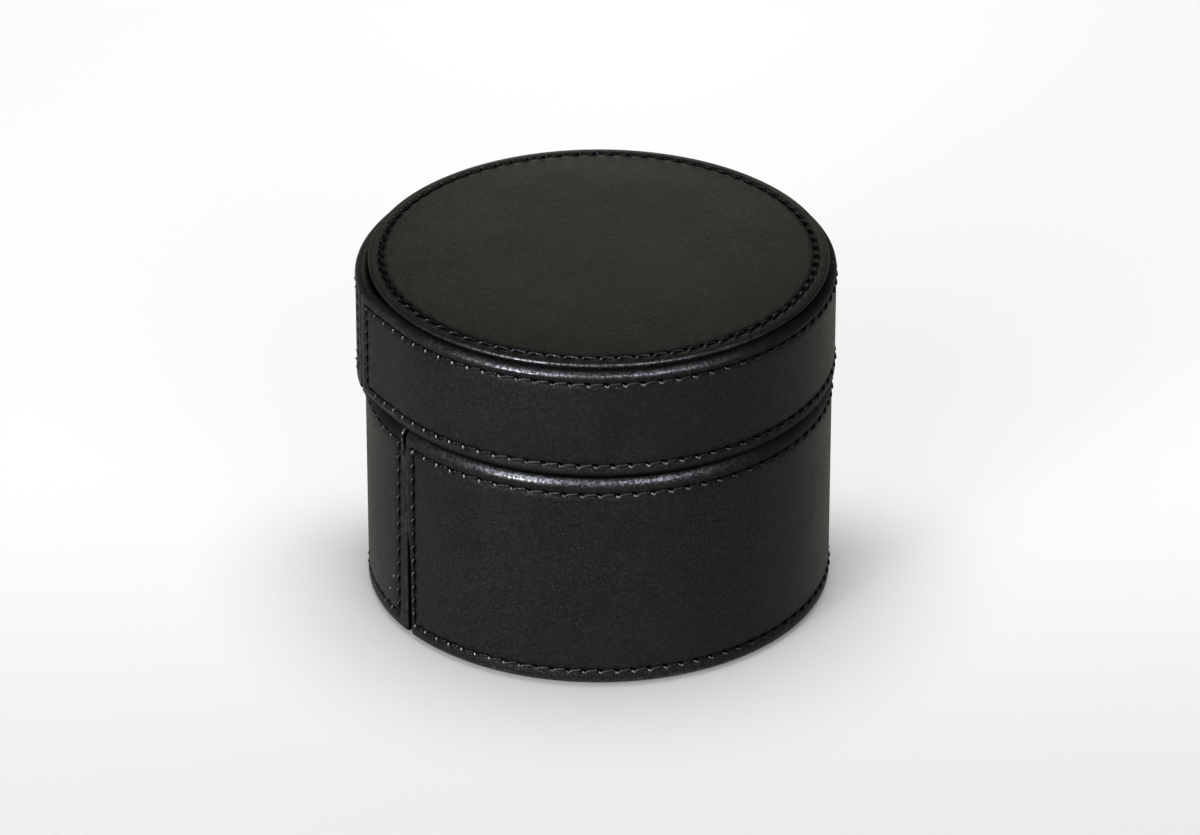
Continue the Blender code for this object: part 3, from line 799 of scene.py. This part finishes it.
def turn_round(name, outline, around=144, closed=True):
    """Turn an outline of (radius, height), outer side from top to bottom, round Z."""
    verts, rings = [], []
    for radius, height in outline:
        if radius < 1e-7:
            rings.append([len(verts)] * around)
            verts.append(Vector((0.0, 0.0, height)))
        else:
            rings.append(list(range(len(verts), len(verts) + around)))
            verts += [at_angle(radius, 360.0 * step / around, height) for step in range(around)]
    pairs = list(zip(rings, rings[1:]))
    if closed:
        pairs.append((rings[-1], rings[0]))
    faces = []
    for upper, lower in pairs:
        for step in range(around):
            after = (step + 1) % around
            corners = [upper[step], lower[step], lower[after], upper[after]]
            corners = list(dict.fromkeys(corners))
            if len(corners) > 2:
                faces.append(corners)
    return add_mesh(name, verts, faces)


def tube_piece(name, node, inner, edge):
    """A smooth tube in the place of a turned solid, with rounded edges."""
    bottom, top, outer = low(node).z, high(node).z, high(node).x
    return turn_round(name, soft_outline([(inner, top, edge), (outer, top, edge),
                                          (outer, bottom, edge), (inner, bottom, edge)]))


def disc_piece(name, node, edge, crown=0.0, around=144):
    """A smooth disc in the place of a turned solid, with rounded edges and a slight crown."""
    bottom, top, outer = low(node).z, high(node).z, high(node).x
    rim = top - crown
    outline = [(outer * share, rim + crown * (1.0 - share ** 4))
               for share in (0.2, 0.4, 0.6, 0.8)]
    corners = soft_outline([(0.0, rim, 0.0), (outer, rim, edge), (outer, bottom, edge),
                            (0.0, bottom, 0.0)])
    return turn_round(name, [(0.0, top)] + outline + corners[1:], around, closed=False)


def cover_surface(radius):
    """Upper side of the lid's cover: a low crown, a furrow under the sewing and a soft margin."""
    rim = COVER_FOOT + 2 * COVER_EDGE
    share = min(radius / (COVER_R + COVER_PROUD - COVER_EDGE), 1.0)
    height = rim + (COVER_TOP - rim) * (1.0 - share ** 4)
    reach = radius - COVER_RING
    height -= 0.26 * MM * math.exp(-(reach / (0.75 * MM)) ** 2)
    if reach > 0.0:
        height += 0.05 * MM * math.sin(min(reach / (1.9 * MM), 1.0) * math.pi)
    return height


def make_cover():
    """The lid's leather cover, from the middle over its folded edge to the foam's recess."""
    edge = COVER_EDGE
    rim = COVER_R + COVER_PROUD - edge
    recess = high("lid_cover_foam").x + 0.3 * MM
    places = [share * 48.0 * MM
              for share in (0.0, 0.1, 0.2, 0.3, 0.4, 0.5, 0.6, 0.7, 0.8, 0.88, 0.95)]
    places += graded(48.4 * MM, rim, (COVER_RING,), 0.22 * MM, 0.5 * MM, 1.2 * MM)
    outline = [(radius, cover_surface(radius)) for radius in places[:-1]]
    folds = [0.0] * len(outline)
    top = cover_surface(rim)
    for step in range(9):
        angle = math.radians(90.0 - 22.5 * step)
        outline.append((rim + edge * math.cos(angle), top - edge + edge * math.sin(angle)
                        if step < 4 else COVER_FOOT + edge + edge * math.sin(angle)))
        folds.append((0.0, 0.5, 1.0, 1.0, 0.3)[min(step, 4)])
    outline += [(recess + 2.0 * MM, COVER_FOOT), (recess, COVER_FOOT),
                (recess, COVER_FOOT + 0.5 * MM)]
    outline += [(recess * share, cover_surface(recess * share) - COVER_SKIN)
                for share in (0.9, 0.6, 0.3)]
    outline.append((0.0, COVER_TOP - COVER_SKIN))
    cover = turn_round("lid_cover_leather", outline, 288, closed=False)
    mesh = cover.data

    def ring(radius, height):
        return round(radius * 1e7), round(height * 1e7)

    fold_at = {ring(*spot): fold for spot, fold in zip(outline, folds)}
    set_fold(mesh, [fold_at.get(ring(math.hypot(v.co.x, v.co.y), v.co.z), 0.0)
                    * handled(math.degrees(math.atan2(v.co.x, -v.co.y))) for v in mesh.vertices])
    count = round(math.tau * COVER_RING / COVER_PITCH)
    uv = mesh.uv_layers.new(name="sewn")
    for face in mesh.polygons:
        turn = math.atan2(face.center.x, -face.center.y) % math.tau
        for corner in face.loop_indices:
            spot = mesh.vertices[mesh.loops[corner].vertex_index].co
            here = math.atan2(spot.x, -spot.y) % math.tau
            here += math.tau * round((turn - here) / math.tau)
            across = (COVER_RING - math.hypot(spot.x, spot.y)) / MM
            if spot.z < COVER_FOOT + edge:
                across = 9.0   # no holes below the edge
            uv.data[corner].uv = (here / math.tau * count, across)
    guide = [at_angle(COVER_RING, step, cover_surface(COVER_RING)) for step in range(361)]
    return cover, (guide, count, STITCH_SLANT, COVER_SHADE)


# Stitches

STITCH_HEAD = 0.14          # where along a stitch its head is, which is also the head's width
HEAD_LIFT, HEAD_DIP, HEAD_GIRTH = 0.35, 0.95, 0.40   # what it adds, as shares
TAIL_SIDE, TAIL_GIRTH = 0.42, 0.92


def stitch_tree():
    """Geometry nodes that lay slanted stitches along a guide line, from hole to hole."""
    tree, guide, thread, rise, dive, slant, thinning, flat, painted_shade_share, stitches, seed, material = \
        new_tree("sewn_line", {
            "Guide": "Geometry", "Thread": THREAD, "Rise": STITCH_RISE, "Dive": STITCH_DIVE,
            "Slant": STITCH_SLANT, "Thinning": 0.62, "Lie flat": 0.0, "Painted shade": 0.0,
            "Stitches": 20, "Seed": 7, "Finish": "Material"}, "Geometry")
    tree.is_modifier = True

    def store(curve, name, value):
        return add_node(tree, "GeometryNodeStoreNamedAttribute",
                        {"Geometry": curve, "Name": name, "Value": value})

    def aligned(vector, axis, **more):
        pivot = {"pivot_axis": "X"} if more else {}
        return add_node(tree, "FunctionNodeAlignRotationToVector", {"Vector": vector, **more},
                        axis=axis, **pivot)

    def chance(least, most, draw):
        return add_node(tree, "FunctionNodeRandomValue", {2: least, 3: most, "Seed": draw}, 1,
                        data_type="FLOAT")

    # One stitch: a thick head, a thinner tail, both ends down in their holes
    pitch = add_node(tree, "GeometryNodeCurveLength", {"Curve": guide}) / stitches
    spine = add_node(tree, "GeometryNodeCurvePrimitiveLine",
                     {"Start": (-0.5, 0.0, 0.0), "End": (0.5, 0.0, 0.0)}, "Curve")
    spine = add_node(tree, "GeometryNodeResampleCurve", {"Curve": spine, "Count": 14}, "Curve")
    along = add_node(tree, "GeometryNodeSplineParameter", output="Factor")
    spread = along - 0.5
    bulge = 1.0 - calc("POWER", calc("ABSOLUTE", spread * 2.0), 4.0)
    thin = 1.0 - along * thinning
    start = (along - STITCH_HEAD) / STITCH_HEAD
    knob = calc("EXPONENT", start * start * -1.0)
    height = bulge * thin * (rise + dive) - dive + knob * (rise * HEAD_LIFT)
    place = add_node(tree, "ShaderNodeCombineXYZ",
                     {0: spread * pitch, 1: (TAIL_SIDE - knob * HEAD_DIP) * slant, 2: height})
    spine = add_node(tree, "GeometryNodeSetPosition", {"Geometry": spine, "Position": place})
    spine = add_node(tree, "GeometryNodeSetCurveRadius",
                     {"Curve": spine, "Radius": (knob * HEAD_GIRTH + TAIL_GIRTH) * thin})
    # Store how much painted shade each stitch's thread gets, for its material
    spine = store(store(spine, "thread_along", along), "thread_painted_shade", painted_shade_share)
    loop = add_node(tree, "GeometryNodeCurvePrimitiveCircle",
                    {"Resolution": 6, "Radius": thread * 0.5}, "Curve")
    stitch = add_node(tree, "GeometryNodeCurveToMesh", {
        "Curve": spine, "Profile Curve": store(loop, "thread_around", along), "Fill Caps": True})

    # The row of them along the guide, each a little off in lean and thickness
    middle = (add_node(tree, "GeometryNodeInputIndex") + 0.5) / stitches
    position, tangent = add_node(tree, "GeometryNodeSampleCurve",
                                 {"Curves": guide, "Factor": middle}, ("Position", "Tangent"),
                                 mode="FACTOR", use_all_curves=True)
    outward = add_node(tree, "ShaderNodeVectorMath", {0: position, 1: (1.0, 1.0, 0.0)},
                       operation="MULTIPLY")
    outward = add_node(tree, "ShaderNodeVectorMath", {0: outward}, operation="NORMALIZE")
    facing = add_node(tree, "ShaderNodeMix", {0: flat, 4: outward, 5: (0.0, 0.0, 1.0)}, 1,
                      data_type="VECTOR")
    turned = aligned(facing, "Z", Rotation=aligned(tangent, "X"))
    lean = add_node(tree, "ShaderNodeCombineXYZ", {2: chance(-0.035, 0.035, seed)})
    lean = add_node(tree, "FunctionNodeEulerToRotation", {0: lean})
    turned = add_node(tree, "FunctionNodeRotateRotation", {"Rotation": turned, "Rotate By": lean},
                      rotation_space="LOCAL")
    size = chance(0.93, 1.05, seed + 1.0)
    spots = add_node(tree, "GeometryNodePoints", {"Count": stitches, "Position": position})
    whole = add_node(tree, "GeometryNodeInstanceOnPoints", {
        "Points": spots, "Instance": stitch, "Rotation": turned,
        "Scale": add_node(tree, "ShaderNodeCombineXYZ", {0: 1.0, 1: size, 2: size})})
    whole = add_node(tree, "GeometryNodeRealizeInstances", {"Geometry": whole})
    whole = add_node(tree, "GeometryNodeSetShadeSmooth", {"Geometry": whole})
    whole = add_node(tree, "GeometryNodeSetMaterial", {"Geometry": whole, "Material": material})
    return close_tree(tree, {"Sewn": whole}, "Geometry")


def sew(name, tree, guides, thread, **settings):
    """Stitches along guide lines, joined into one plain mesh."""
    joined = bmesh.new()
    for layer in ("thread_along", "thread_around", "thread_painted_shade"):
        joined.verts.layers.float.new(layer)
    keys = {item.name: item.identifier for item in tree.interface.items_tree
            if getattr(item, "in_out", "") == "INPUT"}
    for number, (points, stitches, slant, painted_shade_share) in enumerate(guides):
        curve = bpy.data.curves.new(name + "_guide", "CURVE")
        curve.dimensions = "3D"
        spline = curve.splines.new("POLY")
        spline.points.add(len(points) - 1)
        for spot, point in zip(spline.points, points):
            spot.co = (*point, 1.0)
        guide = new_object(name + "_guide", curve)
        step = guide.modifiers.new("sewing", "NODES")
        step.node_group = tree
        values = {"Stitches": stitches, "Slant": slant, "Painted shade": painted_shade_share, "Seed": 11 + number,
                  "Finish": thread, **settings}
        for label, value in values.items():
            step[keys[label]] = value
        laid = evaluated_mesh(guide)
        joined.from_mesh(laid)
        bpy.data.objects.remove(guide, do_unlink=True)
        bpy.data.meshes.remove(laid)
        bpy.data.curves.remove(curve)
    row = object_from(name, joined)
    row.data.shade_smooth()
    return row


# Soft pieces

def points_of(mesh):
    found = np.empty(len(mesh.vertices) * 3, np.float32)
    mesh.vertices.foreach_get("co", found)
    return found.reshape(-1, 3)


def swell(thing, voxel, pressure, frames, cap, hold_below=None):
    """Swell a closed pad as cloth under pressure, and keep every point within cap of its start."""
    step = thing.modifiers.new("even", "REMESH")
    step.mode = "VOXEL"
    step.voxel_size = voxel
    make_plain(thing)
    start = points_of(thing.data)
    cloth = thing.modifiers.new("padding", "CLOTH")
    rules = cloth.settings
    rules.use_pressure = True
    rules.uniform_pressure_force = pressure
    rules.effector_weights.gravity = 0.0
    rules.quality = 6
    rules.mass = 0.15
    cloth.collision_settings.use_collision = False
    cloth.point_cache.frame_start = 1
    cloth.point_cache.frame_end = frames
    if hold_below is not None:
        held = thing.vertex_groups.new(name="held")
        held.add([v.index for v in thing.data.vertices if v.co.z < hold_below], 1.0, "REPLACE")
        rules.vertex_group_mass = "held"
    scene = bpy.context.scene
    for number in range(1, frames + 1):
        scene.frame_set(number)
    make_plain(thing)
    scene.frame_set(1)
    shift = points_of(thing.data) - start
    length = np.linalg.norm(shift, axis=1, keepdims=True)
    shift *= np.minimum(1.0, cap / np.maximum(length, 1e-9))
    thing.data.vertices.foreach_set("co", (start + shift).ravel())
    thing.data.update()
    thing.vertex_groups.clear()
    smooth = thing.modifiers.new("smooth", "SMOOTH")
    smooth.factor = 0.5
    smooth.iterations = 3
    finer = thing.modifiers.new("finer", "SUBSURF")
    finer.levels = finer.render_levels = 1
    make_plain(thing)
    thing.data.shade_smooth()


def roll_shape(name, node, shrink):
    """A ring roll before it swells: a flat-bottomed roll that draws in at its ends."""
    lo, hi = low(node), high(node)
    length, wide, tall = hi.x - lo.x - shrink, hi.y - lo.y - shrink, hi.z - lo.z - shrink / 2
    middle_y = (lo.y + hi.y) / 2
    end = ((0.5, 0.55), (0.493, 0.78), (0.47, 0.90), (0.43, 0.97), (0.36, 1.0), (0.18, 1.0))
    stations = [(-station, size) for station, size in end] + [(0.0, 1.0), *reversed(end)]
    sides, verts = 28, []
    for station, size in stations:
        for side in range(sides):
            turn = math.tau * side / sides
            across, up = math.cos(turn), math.sin(turn)
            across = math.copysign(abs(across) ** 0.8, across) * 0.5 * wide * size
            up = max((0.5 + 0.62 * up) * tall * size / 1.12, 0.0)
            verts.append((station * length, middle_y + across, lo.z + 0.1 * MM + up))
    faces = [list(range(sides))[::-1]] + grid_faces(len(stations), sides)
    faces.append(list(range(len(verts) - sides, len(verts))))
    return add_mesh(name, verts, faces)


def make_ring_rolls(suede):
    for number in (1, 2, 3, 4):
        node = f"ring_roll_{number}"
        roll = recalculate(roll_shape(node + "_padded", node, 0.5 * MM))
        swell(roll, 0.9 * MM, 4.0, 14, 0.45 * MM, low(node).z + 0.4 * MM)
        finish(roll, "tray", "suede", suede, node)


def board_piece(name, node, edge):
    """A straight board in the place of a slab, with soft rounded edges."""
    lo, hi = low(node), high(node)
    shape = bmesh.new()
    place = Matrix.Translation((hi + lo) / 2) @ Matrix.Diagonal((*(hi - lo), 1.0))
    bmesh.ops.create_cube(shape, size=1.0, matrix=place)
    thing = object_from(name, shape)
    bevel = thing.modifiers.new("soft_edges", "BEVEL")
    bevel.width = edge
    bevel.segments = 4
    make_plain(thing)
    thing.data.shade_smooth()
    return thing


def make_pull_tab(name, node, angle, strap):
    """A folded leather tab with a rounded top, standing against the tray's wall."""
    lo, hi = low(node), high(node)
    half, thick, corner = 5.0 * MM, 1.0 * MM, 3.0 * MM
    tall = hi.z - lo.z
    facing, side = at_angle(1.0, angle, 0.0), at_angle(1.0, angle + 90.0, 0.0)
    centre = Vector(((lo.x + hi.x) / 2, (lo.y + hi.y) / 2, lo.z))
    outline = [(-half, 0.0), (half, 0.0)]
    for start, middle in ((0, half - corner), (90, corner - half)):
        for step in range(9):
            turn = math.radians(start + 90 * step / 8)
            outline.append((middle + corner * math.cos(turn),
                            tall - corner + corner * math.sin(turn)))
    verts = []
    count = len(outline)
    middle_up = tall / 2
    layers = [(-0.5, 0.10), (-0.36, 0.03), (-0.12, 0.0), (0.12, 0.0), (0.36, 0.03), (0.5, 0.10)]
    for depth, inset in layers:
        for across, up in outline:
            scale_x = 1.0 - inset * thick / half * 4
            scale_y = 1.0 - inset * thick / middle_up * 4
            spot = centre + side * across * scale_x + facing * depth * thick
            verts.append(spot + Vector((0, 0, middle_up + (up - middle_up) * scale_y)))
    faces = grid_faces(len(layers), count)
    faces += [list(range(count))[::-1], list(range(len(verts) - count, len(verts)))]
    tab = recalculate(add_mesh(name, verts, faces, smooth=False))
    set_fold(tab.data, [1.0 if v.co.z > hi.z - 1.0 * MM else 0.2 for v in tab.data.vertices])
    finish(tab, "tray", "black_leather", strap, node)


def make_interior(finishes):
    """The suede-covered pieces, the boards and the pull tabs. Sizes in mm: inner radius, edge."""
    suede = finishes["suede"]
    for name, node, body, shape, sizes in (
            ("base_underpad", "base_pad", "base", disc_piece, [0.2]),
            ("neck_lining", "base_neck", "base", tube_piece, [46.2, 0.6]),
            ("tray_seat", "tray_ledge", "base", tube_piece, [44.0, 0.6]),
            ("floor_cloth", "floor_lining", "base", disc_piece, [0.4]),
            ("tray_wall_cloth", "tray_wall", "tray", tube_piece, [43.9, 0.8]),
            ("tray_floor_cloth", "tray_floor", "tray", disc_piece, [0.6]),
            ("tray_lining_cloth", "tray_lining", "tray", disc_piece, [0.4]),
            ("long_divider", "tray_divider", "tray", board_piece, [0.75]),
            ("cross_divider", "tray_cross_divider", "tray", board_piece, [0.75]),
            ("lid_lining_cloth", "lid_lining", "lid", tube_piece, [48.3, 0.3])):
        finish(shape(name, node, *[size * MM for size in sizes]), body, "suede", suede, node)
    for node in ("base_floor", "base_wall", "base_stiffener", "lid_wall", "lid_top_board",
                 "lid_stiffener"):
        facing = finishes["board" if node == "base_floor" else "black_board"]
        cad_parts[node].data.materials.clear()
        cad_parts[node].data.materials.append(facing)
    for node, angle in (("pull_tab_right", 112.0), ("pull_tab_left", -112.0)):
        make_pull_tab(node + "_leather", node, angle, finishes["strap"])


def make_pads(finishes):
    """The lid's padded ceiling and the thin padding under its cover."""
    node = "lid_ceiling_pad"
    lo, hi = low(node), high(node)
    ceiling = turn_round("lid_ceiling_padded", soft_outline(
        [(0.0, hi.z, 0.0), (hi.x, hi.z, 0.4 * MM), (hi.x, lo.z + 1.2 * MM, 0.9 * MM),
         (0.0, lo.z + 0.55 * MM, 0.0)]), 96, closed=False)
    recalculate(ceiling)
    swell(ceiling, 1.6 * MM, 3.0, 12, 0.5 * MM)
    finish(ceiling, "lid", "suede", finishes["suede"], node)
    node = "lid_cover_foam"
    padding = disc_piece("lid_cover_padding", node, 0.3 * MM, 0.25 * MM, 96)
    finish(padding, "lid", "foam", finishes["foam"], node)


# Outside

def base_seam(height):
    """Where the base's seam is, and how far it gapes: at its foot and a little at the rim."""
    level = height / MM
    middle = 0.25 - 1.10 * climb(level, 21.0, 22.0)
    gape = (0.95 * climb(level, 31.0, -12.0) + 0.2 * climb(level, 12.0, -12.0)
            + 0.9 * climb(level, 46.5, 5.0) - 0.15)
    return middle * MM, gape * MM


def base_right(height):
    middle, gape = base_seam(height)
    return gape / 2 + middle


def base_left(height):
    middle, gape = base_seam(height)
    return gape / 2 - middle


def base_burnish_and_shade(turn, height, fold):
    """The base's burnish, with painted shade above its upper line past the seam, where the lid's
    proud end shades it, and at the right side.
    """
    shade = 0.65 * climb(turn, BASE_SEAM, -1.5) * climb(turn, -105.0, 30.0)
    shade = max(shade, right_shade(turn)) * climb(height, BASE_HIGH, 0.7 * MM)
    sheen_and_painted_shade = fold * handled(turn) if fold > 0.0 else fold
    return min(sheen_and_painted_shade, sheen_and_painted_shade * (1.0 - shade) - shade) if sheen_and_painted_shade > -0.6 else sheen_and_painted_shade


def band_edge(height):
    return 0.15 * MM


def band_burnish_and_shade(turn, height, fold):
    """The band's burnish: a little in the margin below its sewing at the left, and painted shade
    above its upper line at the right side.
    """
    if fold < 0.0:
        return fold
    margin = climb(height, BAND_LOW - 0.6 * MM, -0.4 * MM)
    margin *= climb(turn, -35.0, -15.0) * climb(turn, -115.0, 25.0)
    shade = right_shade(turn) * climb(height, BAND_HIGH, 0.7 * MM)
    return max(fold * handled(turn), 0.4 * margin) * (1.0 - shade) - shade


def make_outside(finishes):
    sewn = stitch_tree()
    leather, thread = finishes["leather"], finishes["thread"]
    base = Sewing(BASE_R, BASE_SEAM, base_rows(), (BASE_LOW, BASE_HIGH), BASE_PITCHES,
                  BASE_INSETS)
    wrap = make_panel("base_leather", base, base_right, base_left, 1.0 * MM, base_burnish_and_shade)
    finish(wrap, "base", "black_leather", leather, "base_wrap")
    stitches = sew("base_stitches", sewn, base.guides(), thread)
    finish(stitches, "base", "black_thread", thread, "base_thread")

    band = Sewing(LID_R, BAND_SEAM, band_rows(), (BAND_LOW, BAND_HIGH), BAND_PITCHES,
                  BAND_INSETS, FLARE)
    wrap = make_panel("lid_band_leather", band, band_edge, band_edge, 0.35 * MM, band_burnish_and_shade)
    finish(wrap, "lid", "black_leather", leather, "lid_band")
    cover, ring = make_cover()
    finish(cover, "lid", "black_leather", leather, "lid_cover")
    stitches = sew("lid_band_stitches", sewn, band.guides(), thread)
    finish(stitches, "lid", "black_thread", thread, "lid_band_thread")
    stitches = sew("lid_cover_stitches", sewn, [ring], thread, **{"Lie flat": 1.0})
    finish(stitches, "lid", "black_thread", thread, "lid_cover_thread")


# Studio

FLOOR_HALF = 3.0
LAMP_AIM = 0.045            # height at which the lamps point
CAMERA_RISE, CAMERA_DISTANCE, CAMERA_LENS = 29.23, 1.62, 208.84
CAMERA_AIM = Vector((0.0003, 0.0, 0.04051))


def point_at(thing, spot, aim):
    thing.location = spot
    thing.rotation_euler = (aim - spot).to_track_quat("-Z", "Y").to_euler()


def area_lamp(name, azimuth, elevation, distance, size, power, colour=(1.0, 1.0, 1.0)):
    """A round soft lamp that points at the box. Azimuth 0 is the camera's side."""
    data = bpy.data.lights.new(name, "AREA")
    data.shape = "DISK"
    data.size = size
    data.energy = power
    data.color = colour
    up = math.radians(elevation)
    spot = at_angle(distance * math.cos(up), azimuth, LAMP_AIM + distance * math.sin(up))
    point_at(new_object(name, data), spot, Vector((0, 0, LAMP_AIM)))


def make_floor():
    """Pale paper that glows to the camera, paler behind, with a contact shadow by the box."""
    half = FLOOR_HALF
    floor = add_mesh("floor", [(-half, -half, 0), (half, -half, 0), (half, half, 0),
                               (-half, half, 0)], [(0, 1, 2, 3)], smooth=False)
    made, tree, shader, place = new_material("pale_paper", 0.9, Specular_IOR_Level=0.0,
                                             Emission_Strength=1.0)
    y = add_node(tree, "ShaderNodeSeparateXYZ", {0: place}, 1)
    share = y.ramp(-0.14, 0.06)
    camera, glossy, through = add_node(tree, "ShaderNodeLightPath", output=(
        "Is Camera Ray", "Is Glossy Ray", "Is Transmission Ray"))
    seen = camera.most(glossy).most(through)
    lit = share.colour((0.362, 0.352, 0.325), (0.195, 0.19, 0.18))
    glow = share.colour((0.39, 0.39, 0.375), (0.78, 0.78, 0.77))
    free = add_node(tree, "ShaderNodeAmbientOcclusion", {"Distance": 0.045}, "AO", samples=8)
    near = free.ramp(0.35, 0.97, 1.0, 0.0, smooth=False) * y.ramp(0.004, 0.046, 1.0, 0.0)
    glow = near.colour(glow, (0.10, 0.10, 0.10))
    mirrored = share.colour((0.17, 0.165, 0.145), (0.39, 0.385, 0.33))
    glow = glossy.colour(glow, mirrored)
    feed(tree, shader, Base_Color=seen.colour((0.86, 0.86, 0.855), lit),
         Emission_Color=seen.colour(BLACK, glow))
    floor.data.materials.append(made)


def make_studio():
    make_floor()
    world = bpy.data.worlds.new("studio")
    bpy.context.scene.world = world
    world.use_nodes = True
    sky = world.node_tree.nodes["Background"].inputs
    sky["Color"].default_value = (1.0, 0.99, 0.94, 1.0)
    sky["Strength"].default_value = 0.08
    cool, plain, amber = (0.81, 0.85, 1.0), (0.93, 0.95, 1.0), (1.0, 0.98, 0.82)
    area_lamp("overhead", 0.0, 80.0, 2.4, 2.6, 10.0)
    area_lamp("key_left", -34.0, 29.0, 1.9, 1.3, 42.0, cool)
    area_lamp("low_left", -36.0, 6.0, 1.9, 0.32, 50.0, plain)
    area_lamp("key_right", 23.0, 30.0, 1.9, 1.3, 31.0, cool)
    area_lamp("back", 180.0, 16.0, 0.36, 0.22, 0.15, amber)


def make_camera():
    data = bpy.data.cameras.new("camera")
    data.sensor_width = 36.0
    data.lens = CAMERA_LENS
    data.clip_start = 0.05
    data.clip_end = 20.0
    rise = math.radians(CAMERA_RISE)
    away = CAMERA_DISTANCE * Vector((0.0, -math.cos(rise), math.sin(rise)))
    camera = new_object("camera", data)
    point_at(camera, CAMERA_AIM + away, CAMERA_AIM)
    bpy.context.scene.camera = camera


def main():
    bpy.context.scene.view_settings.view_transform = "Standard"
    finishes = make_materials()
    make_camera()
    make_studio()
    make_outside(finishes)
    make_interior(finishes)
    make_pads(finishes)
    make_ring_rolls(finishes["suede"])


main()
